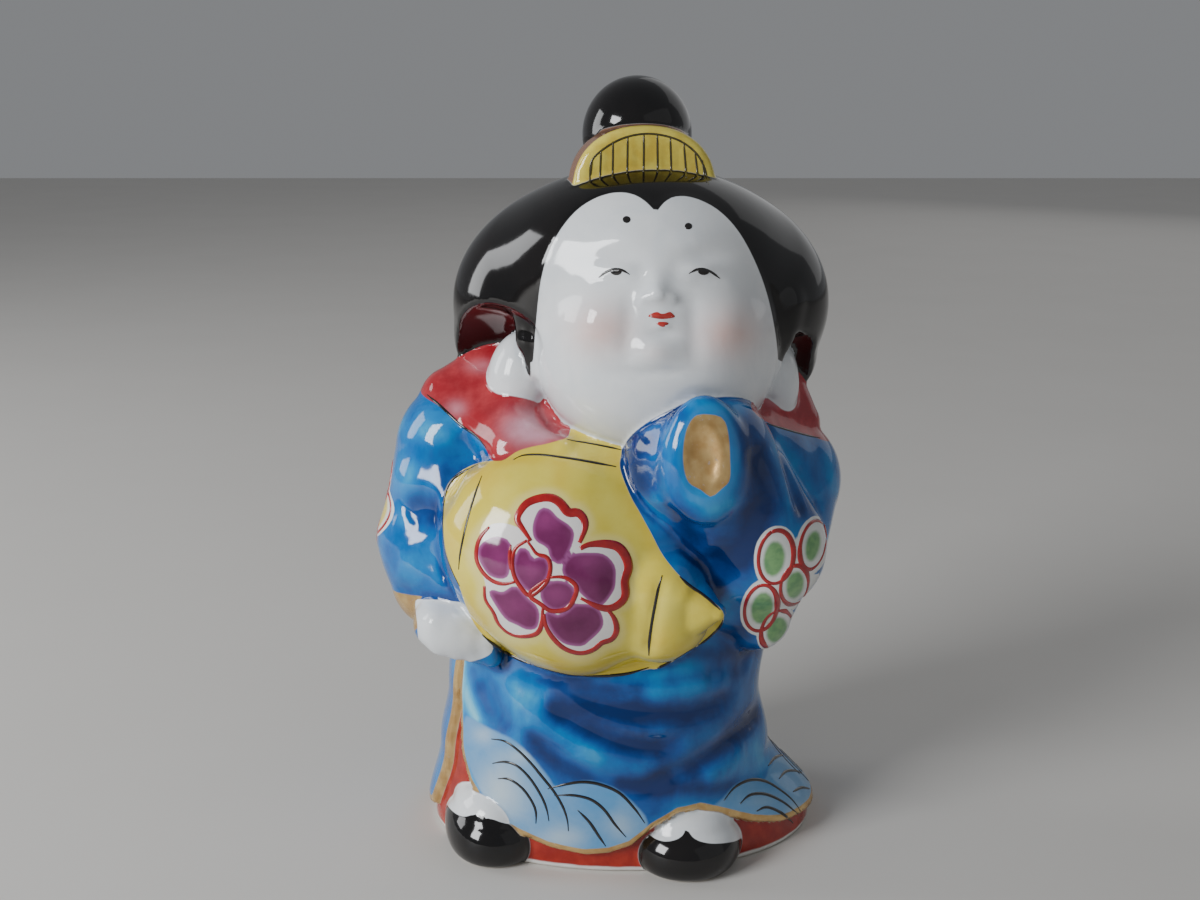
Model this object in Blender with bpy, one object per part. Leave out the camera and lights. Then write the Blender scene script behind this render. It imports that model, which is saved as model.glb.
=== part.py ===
"""Porcelain figure of a standing, round-cheeked woman in a kimono.

The figure is one slip-cast piece: hair with bun and comb, head, robe, one raised and one
lowered sleeve, sash bundle, fist and sandals are a single body with a flat underside.

Frame: metres, +Z up, the front of the figure faces -Y, the origin is on the flat underside
below the middle of the figure. Sizes below are in millimetres and are scaled by MM.
"""

import math

import bmesh
import bpy
from mathutils import Euler, Matrix, Vector

MM = 0.001

# ---- driving sizes, in millimetres --------------------------------------------------------
HEIGHT = 120.0             # underside to the top of the bun
BASE_HALF_WIDTH = 32.6     # hem on the ground, side to side, halved
BASE_FRONT = 21.6          # hem on the ground, towards the viewer
BASE_BACK = 20.5           # hem on the ground, away from the viewer
WAIST_Z = 24.0             # narrowest part of the skirt
WAIST_LEFT = 28.6          # skirt at the waist, towards -X
WAIST_RIGHT = 22.4         # skirt at the waist, towards +X
SKIRT_TOP_Z = 52.0         # top of the skirt, hidden inside the bodice

HEAD_X = 4.7               # the head sits a little towards +X of the feet
HAIR_X = 2.6
HAIR_HALF_WIDTH = 29.0
HAIR_Z = 86.0
BUN_RADIUS = 8.3
COMB_HALF_WIDTH = 10.5
COMB_HEIGHT = 8.9
COMB_THICKNESS = 5.2
COMB_TURN = 9.0            # degrees towards +X

VOXEL = 0.8                # grain of the single skin that joins the forms
TRIANGLES = 7800           # faceted skin, after thinning out

# ---- forms of the figure, as rounded masses -----------------------------------------------
# name, centre (x, y, z), radii (x, y, z), turn about X, Y, Z in degrees, squareness (1 is a ball)
MASSES = [
    ("bodice", (-2.0, 1.0, 55.0), (27.5, 17.0, 23.0), (0, 0, 0), 1.0),
    ("upper_back", (0.0, 5.0, 65.5), (26.5, 12.5, 12.5), (0, 0, 0), 1.0),
    ("neck", (3.5, -3.0, 68.0), (16.5, 13.0, 10.0), (0, 0, 0), 1.0),
    ("jowl", (HEAD_X, -7.5, 79.8), (18.2, 16.8, 15.4), (0, 0, 0), 1.0),
    ("brow", (HEAD_X - 0.3, -6.0, 90.0), (15.8, 16.2, 14.9), (0, 0, 0), 1.0),
    ("cheek_left", (HEAD_X - 8.4, -12.2, 83.2), (9.4, 10.6, 9.6), (0, 0, 0), 1.0),
    ("cheek_right", (HEAD_X + 8.4, -12.2, 83.2), (9.4, 10.6, 9.6), (0, 0, 0), 1.0),
    ("nose", (HEAD_X - 0.2, -21.6, 90.8), (1.9, 2.2, 2.6), (0, 0, 0), 1.0),
    ("chin", (HEAD_X, -19.9, 84.2), (4.6, 5.0, 3.6), (0, 0, 0), 1.0),
    ("ear_left", (-15.9, -4.6, 75.4), (5.0, 5.4, 7.3), (0, 10, 12), 1.0),
    ("ear_right", (23.2, -3.6, 75.6), (3.5, 4.8, 6.8), (0, -10, -12), 1.0),
    ("bun", (1.9, 3.0, HEIGHT - 8.7), (BUN_RADIUS, 8.6, 8.7), (0, 0, 0), 1.0),
    ("nape_hair", (HAIR_X, 11.5, 79.0), (15.0, 8.6, 10.5), (0, 0, 0), 1.0),
    ("sash_bundle", (-10.0, -13.2, 49.6), (19.2, 16.0, 15.4), (0, 45, 0), 0.91),
    ("sash_band", (-1.0, 1.0, 53.0), (26.0, 18.6, 12.0), (0, 0, 0), 0.72),
    ("sash_belt", (-3.0, -8.0, 62.0), (17.0, 13.2, 7.6), (0, 4, 0), 0.83),
    ("fist", (-25.6, -12.6, 38.4), (6.8, 6.4, 4.7), (0, 14, 0), 0.9),
    ("sandal_left", (-20.8, -10.6, 3.2), (7.9, 10.0, 6.2), (0, 0, 12), 0.94),
    ("sandal_right", (9.9, -14.4, 3.2), (8.9, 10.2, 6.0), (0, 0, -4), 0.94),
    ("toes_left", (-21.0, -10.4, 7.0), (6.2, 8.4, 4.6), (0, 0, 12), 1.0),
    ("toes_right", (9.9, -14.0, 6.8), (7.5, 8.4, 4.4), (0, 0, -4), 1.0),
    ("sleeve_lip", (10.8, -27.0, 68.2), (5.6, 3.6, 8.6), (-8, 0, 8), 1.0),
]

# limbs and cloth as skins pulled over balls: name, then (x, y, z, radius) of each ball
SLEEVES = [
    ("lowered_sleeve", [(-24.6, -0.5, 63.2, 11.2), (-29.6, -3.0, 49.0, 9.0),
                        (-29.2, -4.5, 42.4, 7.4), (-22.0, -8.0, 52.0, 8.0)]),
    ("lowered_cuff", [(-28.6, -5.5, 46.0, 8.0), (-25.0, -9.5, 43.4, 6.6)]),
    ("raised_forearm", [(10.8, -18.2, 66.2, 10.9), (20.5, -14.5, 52.0, 9.6)]),
    ("raised_shoulder", [(23.6, -0.5, 58.2, 10.8), (22.6, -7.0, 50.0, 9.0), (16.0, -8.0, 64.0, 9.0)]),
    ("hanging_sleeve", [(21.0, -12.0, 50.0, 9.0), (20.1, -12.5, 40.0, 5.6), (12.0, -14.0, 48.0, 7.0)]),
    ("bundle_corner", [(4.8, -19.6, 47.6, 7.6), (5.0, -19.4, 43.0, 7.4), (13.2, -25.0, 45.2, 1.5)]),
    ("bundle_top", [(-7.0, -14.5, 58.0, 10.4), (3.0, -14.5, 55.0, 9.6)]),
    ("bundle_low", [(-4.0, -15.6, 45.6, 11.2), (4.6, -17.6, 43.6, 8.6)]),
    ("lock_left", [(-14.4, -8.6, 88.5, 2.5), (-14.2, -9.6, 82.0, 1.8), (-13.8, -9.8, 78.0, 0.9)]),
    ("lock_right", [(23.6, -8.4, 87.5, 2.4), (23.2, -9.4, 82.5, 1.6), (22.6, -9.4, 78.8, 0.9)]),
    ("collar_back", [(-19.0, 7.5, 74.0, 4.0), (3.0, 15.8, 70.4, 4.0), (24.5, 7.5, 73.0, 3.8)]),
    ("collar_left", [(-18.5, 3.0, 77.5, 3.6), (-26.5, 0.5, 70.5, 5.6), (-16.0, -12.5, 66.0, 4.8),
                     (-9.0, -16.5, 67.0, 2.6)]),
    ("collar_right", [(24.8, 3.0, 75.5, 2.7), (26.8, 0.5, 67.0, 4.2), (18.5, -9.0, 67.0, 4.5)]),
]

# the hem of the outer robe: (angle round the figure in degrees, height), 0 is the front, +90 is +X.
# It opens in a slit on the -X side, and lifts over the sandal on the +X side.
HEM = [(-180, 2.6), (-98, 2.8), (-84, 3.0), (-77, 9.0), (-74.4, 20.0), (-72, 33.5), (-70.2, 22.0), (-67.5, 16.7),
       (-62.8, 11.7), (-54.5, 8.2), (-43, 5.7), (-30, 4.1), (-16, 3.4), (-6, 3.9), (3, 5.2), (12, 8.2), (22, 10.3),
       (31, 10.4), (42, 8.4), (52, 6.2), (64, 4.3), (80, 3.2), (180, 2.6)]
HEM_STEP = 1.1             # the underskirt lies this far inside the outer robe


# ---- helpers ------------------------------------------------------------------------------

def new_object(name, bm):
    """An object from a bmesh, in millimetres so far."""
    bmesh.ops.recalc_face_normals(bm, faces=bm.faces)
    mesh = bpy.data.meshes.new(name)
    bm.to_mesh(mesh)
    bm.free()
    obj = bpy.data.objects.new(name, mesh)
    bpy.context.scene.collection.objects.link(obj)
    return obj


def mass(name, centre, radii, turn, squareness=1.0, segments=32):
    """A ball stretched to three radii and turned, or a cushion where squareness is below 1."""
    bm = bmesh.new()
    bmesh.ops.create_uvsphere(bm, u_segments=segments, v_segments=segments // 2, radius=1.0)
    for v in bm.verts:
        v.co = Vector([math.copysign(abs(c) ** squareness, c) for c in v.co])
        v.co *= sum(abs(c) ** (2.0 / squareness) for c in v.co) ** (-squareness / 2.0)
    place = (Matrix.Translation(Vector(centre))
             @ Euler([math.radians(a) for a in turn]).to_matrix().to_4x4()
             @ Matrix.Diagonal((*radii, 1.0)))
    bmesh.ops.transform(bm, verts=bm.verts, matrix=place)
    return new_object(name, bm)


def pulled_skin(name, balls):
    """The tight skin around several balls."""
    bm = bmesh.new()
    for x, y, z, r in balls:
        bmesh.ops.create_icosphere(bm, subdivisions=3, radius=r, matrix=Matrix.Translation((x, y, z)))
    hull = bmesh.ops.convex_hull(bm, input=bm.verts[:])
    inside = [v for v in bm.verts if not v.link_faces]
    spare = set(hull["geom_interior"]) | set(hull["geom_unused"])
    bmesh.ops.delete(bm, geom=[v for v in bm.verts if v in spare or v in inside], context="VERTS")
    return new_object(name, bm)


def smooth(t):
    t = max(0.0, min(1.0, t))
    return t * t * (3.0 - 2.0 * t)


def between(stations, z):
    """A size that passes smoothly through (z, size) stations."""
    if z <= stations[0][0]:
        return stations[0][1]
    for (z0, s0), (z1, s1) in zip(stations, stations[1:]):
        if z <= z1:
            return s0 + (s1 - s0) * smooth((z - z0) / (z1 - z0))
    return stations[-1][1]


RIGHT = [(-3, BASE_HALF_WIDTH), (2, BASE_HALF_WIDTH), (14, 24.2), (WAIST_Z, WAIST_RIGHT), (40, 24.5), (SKIRT_TOP_Z, 20)]
LEFT = [(-3, BASE_HALF_WIDTH), (2, BASE_HALF_WIDTH), (14, 30.2), (WAIST_Z, WAIST_LEFT), (40, 27.0), (SKIRT_TOP_Z, 20)]
FRONT = [(-3, BASE_FRONT), (2, BASE_FRONT), (14, 22.0), (WAIST_Z, 22.5), (40, 20.0), (SKIRT_TOP_Z, 14)]
BACK = [(-3, BASE_BACK), (2, BASE_BACK), (14, 18.6), (WAIST_Z, 17.4), (40, 17.4), (SKIRT_TOP_Z, 13)]

# folds that sweep round the skirt: angle of the middle, height there, rise per radian, half width, depth, reach
FOLDS = [
    (-0.15, 22.0, -11.0, 2.6, -1.1, 0.85),
    (0.05, 30.5, -9.0, 2.4, -0.9, 0.75),
    (0.75, 16.0, 14.0, 2.6, -1.0, 0.60),
    (2.4, 24.0, 9.0, 3.0, -0.9, 0.80),
    (-2.3, 22.0, -9.0, 3.0, -0.9, 0.80),
    (3.1, 12.0, 0.0, 2.6, -0.8, 0.70),
]


def skirt_radius(angle, z):
    """Distance from the figure's axis to the robe. Angle 0 is the front, +90 degrees is +X."""
    s, c = math.sin(angle), math.cos(angle)
    a = between(RIGHT if s > 0 else LEFT, z)
    b = between(FRONT if c > 0 else BACK, z)
    r = 1.0 / math.sqrt((s / a) ** 2 + (c / b) ** 2)
    for middle, height, rise, width, depth, reach in FOLDS:
        off = (angle - middle + math.pi) % (2 * math.pi) - math.pi
        t = (z - height - rise * off) / width
        r += depth * math.exp(-t * t) * math.exp(-(off / reach) ** 4)
    hem = between(HEM, math.degrees(angle))
    return r - HEM_STEP * (1.0 - smooth((z - hem) / 0.8 + 0.5))


def skirt(segments=96, step=1.0):
    """The robe from the ground up, ring by ring."""
    bm = bmesh.new()
    rings = []
    z = -3.0
    while z <= SKIRT_TOP_Z:
        ring = []
        for i in range(segments):
            angle = 2 * math.pi * i / segments - math.pi
            r = skirt_radius(angle, z)
            ring.append(bm.verts.new((r * math.sin(angle), -r * math.cos(angle), z)))
        rings.append(ring)
        z += step
    for low, high in zip(rings, rings[1:]):
        for i in range(segments):
            j = (i + 1) % segments
            bm.faces.new((low[i], low[j], high[j], high[i]))
    bm.faces.new(rings[0])
    bm.faces.new(rings[-1])
    return new_object("skirt", bm)


def comb():
    """A thick half disc standing across the hair in front of the bun, wider at its back, its rim rounded."""
    bm = bmesh.new()
    steps = 28
    outline = [(COMB_HALF_WIDTH * math.cos(math.pi * i / steps), COMB_HEIGHT * math.sin(math.pi * i / steps) ** 0.86)
               for i in range(steps + 1)]
    outline += [(-COMB_HALF_WIDTH * 0.96, -5.0), (COMB_HALF_WIDTH * 0.96, -5.0)]
    face = bm.faces.new([bm.verts.new((x, 0.0, z)) for x, z in outline])
    grown = bmesh.ops.extrude_face_region(bm, geom=[face])
    back = [g for g in grown["geom"] if isinstance(g, bmesh.types.BMVert)]
    bmesh.ops.translate(bm, verts=back, vec=(0.0, COMB_THICKNESS, 0.0))
    bmesh.ops.scale(bm, verts=back, vec=(1.04, 1.0, 1.0))
    rims = [e for e in bm.edges if abs(e.verts[0].co.y - e.verts[1].co.y) < 0.01]
    bmesh.ops.bevel(bm, geom=rims, offset=1.1, segments=3, profile=0.5, affect="EDGES")
    bmesh.ops.transform(bm, verts=bm.verts, matrix=Matrix.Translation((3.0, -7.4, 104.0))
                        @ Matrix.Rotation(math.radians(COMB_TURN), 4, "Z"))
    return new_object("comb", bm)


def hair():
    """The cap of dressed hair: a wide dome with a wing on each side, hollowed below the wings."""
    dome = mass("hair", (HAIR_X, 1.5, HAIR_Z), (HAIR_HALF_WIDTH, 18.6, 20.6), (0, 0, 0), segments=64)
    roll = mass("hair_roll", (2.9, -4.0, 92.5), (21.0, 16.0, 14.6), (0, 0, 0))
    wing_left = pulled_skin("wing_left", [(-16.0, 3.5, 86.0, 8.0), (-20.6, 3.0, 79.5, 5.6)])
    wing_right = pulled_skin("wing_right", [(21.0, 3.5, 85.0, 8.0), (25.2, 3.5, 76.5, 5.0)])
    hollows = [mass("hollow_left", (-21.6, -15.0, 72.6), (13.4, 18.0, 16.0), (-14, 0, 0), segments=48),
               mass("hollow_right", (26.6, -14.6, 68.8), (9.6, 17.5, 15.6), (-14, 0, 0), segments=48),
               mass("hollow_nape", (HAIR_X, 2.0, 58.0), (34.0, 26.0, 14.6), (0, 0, 0), segments=48)]
    forms = [dome, roll, wing_left, wing_right]
    for hollow in hollows:
        hollow.hide_render = True
        hollow.display_type = "WIRE"
        for form in forms:
            cut = form.modifiers.new(hollow.name, "BOOLEAN")
            cut.operation = "DIFFERENCE"
            cut.solver = "EXACT"
            cut.object = hollow
    return forms


def evaluated_bmesh(obj):
    """The object's mesh with its modifiers, in the figure's frame."""
    bpy.context.view_layer.update()
    graph = bpy.context.evaluated_depsgraph_get()
    mesh = bpy.data.meshes.new_from_object(obj.evaluated_get(graph))
    bm = bmesh.new()
    bm.from_mesh(mesh)
    bpy.data.meshes.remove(mesh)
    bmesh.ops.transform(bm, verts=bm.verts, matrix=obj.matrix_world)
    return bm


# ---- the figure ---------------------------------------------------------------------------

def clear_scene():
    for obj in list(bpy.data.objects):
        bpy.data.objects.remove(obj, do_unlink=True)


def porcelain():
    material = bpy.data.materials.new("glazed_porcelain")
    material.use_nodes = True
    shader = material.node_tree.nodes["Principled BSDF"]
    shader.inputs["Base Color"].default_value = (0.05, 0.19, 0.45, 1.0)
    shader.inputs["Roughness"].default_value = 0.12
    shader.inputs["Metallic"].default_value = 0.0
    material.diffuse_color = (0.05, 0.19, 0.45, 1.0)
    return material


def build():
    clear_scene()
    forms = [skirt(), comb()] + hair()
    forms += [mass(*m) for m in MASSES]
    forms += [pulled_skin(*s) for s in SLEEVES]

    # all forms in one mesh, in millimetres
    whole = bmesh.new()
    for form in forms:
        part = evaluated_bmesh(form)
        mesh = bpy.data.meshes.new("form")
        part.to_mesh(mesh)
        part.free()
        whole.from_mesh(mesh)
        bpy.data.meshes.remove(mesh)
    for obj in list(bpy.data.objects):
        bpy.data.objects.remove(obj, do_unlink=True)
    blank = new_object("blank", whole)

    # one skin over all of them, softened where they meet, then thinned out
    skin = blank.modifiers.new("skin", "REMESH")
    skin.mode = "VOXEL"
    skin.voxel_size = VOXEL
    soften = blank.modifiers.new("soften", "SMOOTH")
    soften.factor = 0.5
    soften.iterations = 4
    thin = blank.modifiers.new("thin", "DECIMATE")
    thin.decimate_type = "COLLAPSE"
    bpy.context.view_layer.update()
    thin.ratio = 1.0
    count = 2 * len(blank.evaluated_get(bpy.context.evaluated_depsgraph_get()).data.polygons)
    thin.ratio = TRIANGLES / count if count else 1.0

    solid = evaluated_bmesh(blank)
    bpy.data.objects.remove(blank, do_unlink=True)

    # the flat underside
    cut = bmesh.ops.bisect_plane(solid, geom=solid.verts[:] + solid.edges[:] + solid.faces[:], dist=1e-5,
                                 plane_co=(0, 0, 0), plane_no=(0, 0, 1), clear_inner=True)
    rim = [g for g in cut["geom_cut"] if isinstance(g, bmesh.types.BMEdge)]
    bmesh.ops.holes_fill(solid, edges=rim, sides=0)
    bmesh.ops.dissolve_degenerate(solid, dist=1e-4, edges=solid.edges[:])
    bmesh.ops.triangulate(solid, faces=solid.faces[:])
    bmesh.ops.scale(solid, vec=(MM, MM, MM), verts=solid.verts[:])

    figure = new_object("figure", solid)
    figure.data.materials.append(porcelain())
    figure.data.shade_smooth()
    return figure


build()
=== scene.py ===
"""Looks of the porcelain figure of a standing woman: one glazed body, sculpted in fine relief,
painted in overglaze enamels, with the brush lines laid on it as raised enamel.

Lengths below are millimetres and are scaled by MM when a mesh is made.
The front of the figure faces -Y, +Z is up.
"""
import math

import bmesh
import bpy
import numpy as np
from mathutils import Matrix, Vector
from mathutils.bvhtree import BVHTree


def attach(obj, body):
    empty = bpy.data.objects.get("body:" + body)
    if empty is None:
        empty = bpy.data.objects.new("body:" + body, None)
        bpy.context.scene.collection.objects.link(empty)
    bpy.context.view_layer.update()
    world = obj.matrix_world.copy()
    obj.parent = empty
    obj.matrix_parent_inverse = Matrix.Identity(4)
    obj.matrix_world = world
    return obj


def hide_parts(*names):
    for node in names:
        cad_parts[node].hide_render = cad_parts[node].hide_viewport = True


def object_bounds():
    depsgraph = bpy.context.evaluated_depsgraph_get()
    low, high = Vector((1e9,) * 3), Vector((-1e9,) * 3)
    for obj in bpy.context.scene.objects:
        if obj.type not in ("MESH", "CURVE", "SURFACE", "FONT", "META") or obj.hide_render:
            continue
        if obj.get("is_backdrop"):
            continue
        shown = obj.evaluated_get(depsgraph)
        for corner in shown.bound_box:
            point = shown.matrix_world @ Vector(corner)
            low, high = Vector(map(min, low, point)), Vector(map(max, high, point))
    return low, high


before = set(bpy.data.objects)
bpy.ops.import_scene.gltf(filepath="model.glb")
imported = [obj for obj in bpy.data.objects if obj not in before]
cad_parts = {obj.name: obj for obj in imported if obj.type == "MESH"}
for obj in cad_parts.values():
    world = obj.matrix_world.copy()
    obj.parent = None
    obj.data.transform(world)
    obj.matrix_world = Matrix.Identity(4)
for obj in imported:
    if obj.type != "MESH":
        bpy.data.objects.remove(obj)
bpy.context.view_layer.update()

MM = 0.001
F = np.float32

# ---- the photograph's view, as a pinhole in millimetres ------------------------------------
FOCAL = 1400.0             # pixels, in a 1200 x 900 frame
PITCH = math.atan(375.0 / FOCAL)
EYE = np.array([-3.7, -214.0, 120.0])
_CP, _SP = math.cos(PITCH), math.sin(PITCH)


def ray(u, v):
    """Direction of the line of sight through a pixel."""
    a, b = (u - 600.0) / FOCAL, (450.0 - v) / FOCAL
    d = np.array([a, b * _SP + _CP, b * _CP - _SP])
    return d / np.linalg.norm(d)


def pixel(P):
    """Where points show in the frame: two arrays, and their depth along the view."""
    x, y, z = P[:, 0] - EYE[0], P[:, 1] - EYE[1], P[:, 2] - EYE[2]
    depth = y * _CP - z * _SP
    return 600.0 + FOCAL * x / depth, 450.0 - FOCAL * (y * _SP + z * _CP) / depth, depth


# ---- distance fields -----------------------------------------------------------------------

def smin(a, b, k):
    h = np.maximum(k - np.abs(a - b), 0.0)
    return np.minimum(a, b) - h * h / (4.0 * k)


def smax(a, b, k):
    return -smin(-a, -b, k)


def step01(t):
    t = np.clip(t, 0.0, 1.0)
    return t * t * (3.0 - 2.0 * t)


def turned(turn):
    """Rotation matrix for turns about X, then Y, then Z, in degrees."""
    ax, ay, az = (math.radians(t) for t in turn)
    cx, sx, cy, sy, cz, sz = math.cos(ax), math.sin(ax), math.cos(ay), math.sin(ay), math.cos(az), math.sin(az)
    rx = np.array([[1, 0, 0], [0, cx, -sx], [0, sx, cx]])
    ry = np.array([[cy, 0, sy], [0, 1, 0], [-sy, 0, cy]])
    rz = np.array([[cz, -sz, 0], [sz, cz, 0], [0, 0, 1]])
    return (rz @ ry @ rx).astype(F)


def ball(P, centre, radii, turn=(0, 0, 0), power=2.0):
    """Stretched ball; with power above 2, a cushion."""
    Q = (P - np.array(centre, F))
    if any(turn):
        Q = Q @ turned(turn)
    r = np.array(radii, F)
    q = Q / r
    if power == 2.0:
        k0 = np.sqrt((q * q).sum(1))
        k1 = np.sqrt(((q / r) ** 2).sum(1))
        return k0 * (k0 - 1.0) / np.maximum(k1, 1e-6)
    a = np.maximum(np.abs(q), 1e-5)
    s = (a ** power).sum(1) ** (1.0 / power)
    g = np.sqrt(((a ** (power - 1.0) / r) ** 2).sum(1)) * s ** (1.0 - power)
    return (s - 1.0) / np.maximum(g, 1e-6)


def limb(P, a, b):
    """Two balls (x, y, z, radius) with a skin between them."""
    ca, cb = np.array(a[:3], F), np.array(b[:3], F)
    e = cb - ca
    t = np.clip(((P - ca) @ e) / float(e @ e), 0.0, 1.0)
    return np.sqrt((((P - ca) - t[:, None] * e) ** 2).sum(1)) - (a[3] + (b[3] - a[3]) * t)


def web(P, a, b, c):
    """Three balls with a skin over them."""
    d = np.minimum(np.minimum(limb(P, a, b), limb(P, b, c)), limb(P, c, a))
    A, B, C = (np.array(p[:3], F) for p in (a, b, c))
    v0, v1 = B - A, C - A
    w = P - A
    d00, d01, d11 = float(v0 @ v0), float(v0 @ v1), float(v1 @ v1)
    d20, d21 = w @ v0, w @ v1
    den = d00 * d11 - d01 * d01
    s = (d11 * d20 - d01 * d21) / den
    t = (d00 * d21 - d01 * d20) / den
    inside = (s >= 0) & (t >= 0) & (s + t <= 1)
    n = np.cross(v0, v1)
    n = n / np.linalg.norm(n)
    flat = np.abs(w @ n) - (a[3] + (b[3] - a[3]) * s + (c[3] - a[3]) * t)
    return np.where(inside, np.minimum(flat, d), d)


def spline(points, count):
    """Catmull-Rom through the points, evenly spread."""
    p = np.asarray(points, float)
    if len(p) < 3:
        t = np.linspace(0, 1, count)[:, None]
        return p[0] * (1 - t) + p[-1] * t
    q = np.vstack([2 * p[0] - p[1], p, 2 * p[-1] - p[-2]])
    out = []
    for i in range(len(p) - 1):
        a, b, c, d = q[i:i + 4]
        for t in np.linspace(0, 1, 12, endpoint=False):
            out.append(0.5 * (2 * b + (c - a) * t + (2 * a - 5 * b + 4 * c - d) * t * t
                              + (3 * b - a - 3 * c + d) * t ** 3))
    out.append(p[-1])
    out = np.array(out)
    s = np.concatenate([[0], np.cumsum(np.linalg.norm(np.diff(out, axis=0), axis=1))])
    at = np.linspace(0, s[-1], count)
    return np.stack([np.interp(at, s, out[:, k]) for k in range(out.shape[1])], 1)


def loop_spline(points, count):
    """The same through a closed outline."""
    p = np.asarray(points, float)
    wrapped = np.vstack([p[-2:], p, p[:3]])
    out = []
    for i in range(1, len(p) + 1):
        a, b, c, d = wrapped[i:i + 4]
        for t in np.linspace(0, 1, 12, endpoint=False):
            out.append(0.5 * (2 * b + (c - a) * t + (2 * a - 5 * b + 4 * c - d) * t * t
                              + (3 * b - a - 3 * c + d) * t ** 3))
    out = np.array(out + [out[0]])
    s = np.concatenate([[0], np.cumsum(np.linalg.norm(np.diff(out, axis=0), axis=1))])
    at = np.linspace(0, s[-1], count, endpoint=False)
    return np.stack([np.interp(at, s, out[:, k]) for k in range(out.shape[1])], 1)


def line_distance(Q, pts):
    """Distance of points from an open line, in 2 or 3 dimensions, and how far along it they lie (0 to 1)."""
    pts = np.asarray(pts, F)
    best = np.full(len(Q), 1e9, F)
    along = np.zeros(len(Q), F)
    n = len(pts) - 1
    for i in range(n):
        a, e = pts[i], pts[i + 1] - pts[i]
        w = Q - a
        t = np.clip((w @ e) / max(float(e @ e), 1e-12), 0.0, 1.0)
        d = ((w - t[:, None] * e) ** 2).sum(1)
        closer = d < best
        best = np.where(closer, d, best)
        along = np.where(closer, (i + t) / n, along)
    return np.sqrt(best), along


def outline_distance(Q, outline):
    """Signed distance to a closed outline in a plane, positive inside."""
    o = np.asarray(outline, F)
    best = np.full(len(Q), 1e9, F)
    inside = np.zeros(len(Q), bool)
    for i in range(len(o)):
        a, b = o[i], o[(i + 1) % len(o)]
        e, w = b - a, Q - a
        t = np.clip((w @ e) / max(float(e @ e), 1e-12), 0.0, 1.0)
        best = np.minimum(best, ((w - t[:, None] * e) ** 2).sum(1))
        cross = (a[1] > Q[:, 1]) != (b[1] > Q[:, 1])
        x = a[0] + (Q[:, 1] - a[1]) / (e[1] if abs(e[1]) > 1e-9 else 1e-9) * e[0]
        inside ^= cross & (Q[:, 0] < x)
    return np.where(inside, 1.0, -1.0) * np.sqrt(best)


# ---- the robe's skirt, by angle round the figure and height --------------------------------
HEIGHT = 120.0
BASE_HALF_WIDTH, BASE_FRONT, BASE_BACK = 32.6, 21.6, 20.5
RIGHT = [(-3, 32.6), (2, 32.6), (14, 24.2), (24, 22.4), (40, 24.5), (52, 20)]
LEFT = [(-3, 32.6), (2, 32.6), (14, 30.2), (24, 28.6), (40, 27.0), (52, 20)]
FRONT = [(-3, 21.6), (2, 21.6), (14, 22.0), (24, 22.5), (40, 20.0), (52, 14)]
BACK = [(-3, 20.5), (2, 20.5), (14, 18.6), (24, 17.4), (40, 17.4), (52, 13)]

# hem of the outer robe: degrees round the figure (0 front, +90 towards +X), height
HEM = [(-180, 2.6), (-150, 2.9), (-120, 2.6), (-98, 2.8), (-84, 3.0), (-79.4, 3.8), (-77, 9.0), (-75.4, 14.0),
       (-74.4, 20.0), (-73.8, 26.0), (-73.0, 31.5), (-72.0, 33.5), (-71.3, 29.0), (-70.2, 22.0), (-67.5, 16.7),
       (-62.8, 11.7), (-54.5, 8.2), (-43, 5.7), (-30, 4.1), (-16, 3.4), (-6, 3.9), (3, 5.2),
       (12, 8.2), (22, 10.3), (31, 10.4), (42, 8.4), (52, 6.2), (64, 4.3), (80, 3.2), (110, 2.6), (150, 2.9), (180, 2.6)]
ARC = 0.47                 # mm of arc for each degree, near enough all round
HEM_LINE = np.array([(a * ARC, z) for a, z in HEM], F)


def stations(table, z):
    """A size that passes smoothly through (z, size) stations."""
    out = np.full(len(z), table[0][1], F)
    for (z0, s0), (z1, s1) in zip(table, table[1:]):
        out = np.where(z > z0, s0 + (s1 - s0) * step01((z - z0) / (z1 - z0)), out)
    return out.astype(F)


def skirt_field(P):
    x, y, z = P[:, 0], P[:, 1], P[:, 2]
    rho = np.sqrt(x * x + y * y) + 1e-6
    s, c = x / rho, -y / rho
    a = np.where(s > 0, stations(RIGHT, z), stations(LEFT, z))
    b = np.where(c > 0, stations(FRONT, z), stations(BACK, z))
    return smax((rho - 1.0 / np.sqrt((s / a) ** 2 + (c / b) ** 2)) * 0.94, z - 50.0, 4.0)


def round_and_up(P):
    """Arc length round the figure from the front, and height."""
    return np.stack([np.degrees(np.arctan2(P[:, 0], -P[:, 1])) * ARC, P[:, 2]], 1).astype(F)


def hem_distance(P):
    """Signed distance to the hem line in the unrolled skirt, positive above it, on the robe."""
    Q = round_and_up(P)
    d, _ = line_distance(Q, HEM_LINE)
    level = np.interp(Q[:, 0], HEM_LINE[:, 0], HEM_LINE[:, 1])
    return np.where(Q[:, 1] > level, d, -d).astype(F)


# ---- forms, in the same places as the solid's ----------------------------------------------
HX = 4.7                   # the head's middle


def head_base(P):
    d = ball(P, (HX, -7.5, 79.8), (18.2, 16.8, 15.4))
    return smin(d, ball(P, (HX - 0.3, -6.0, 90.0), (15.8, 16.2, 14.9)), 5.0)


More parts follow.
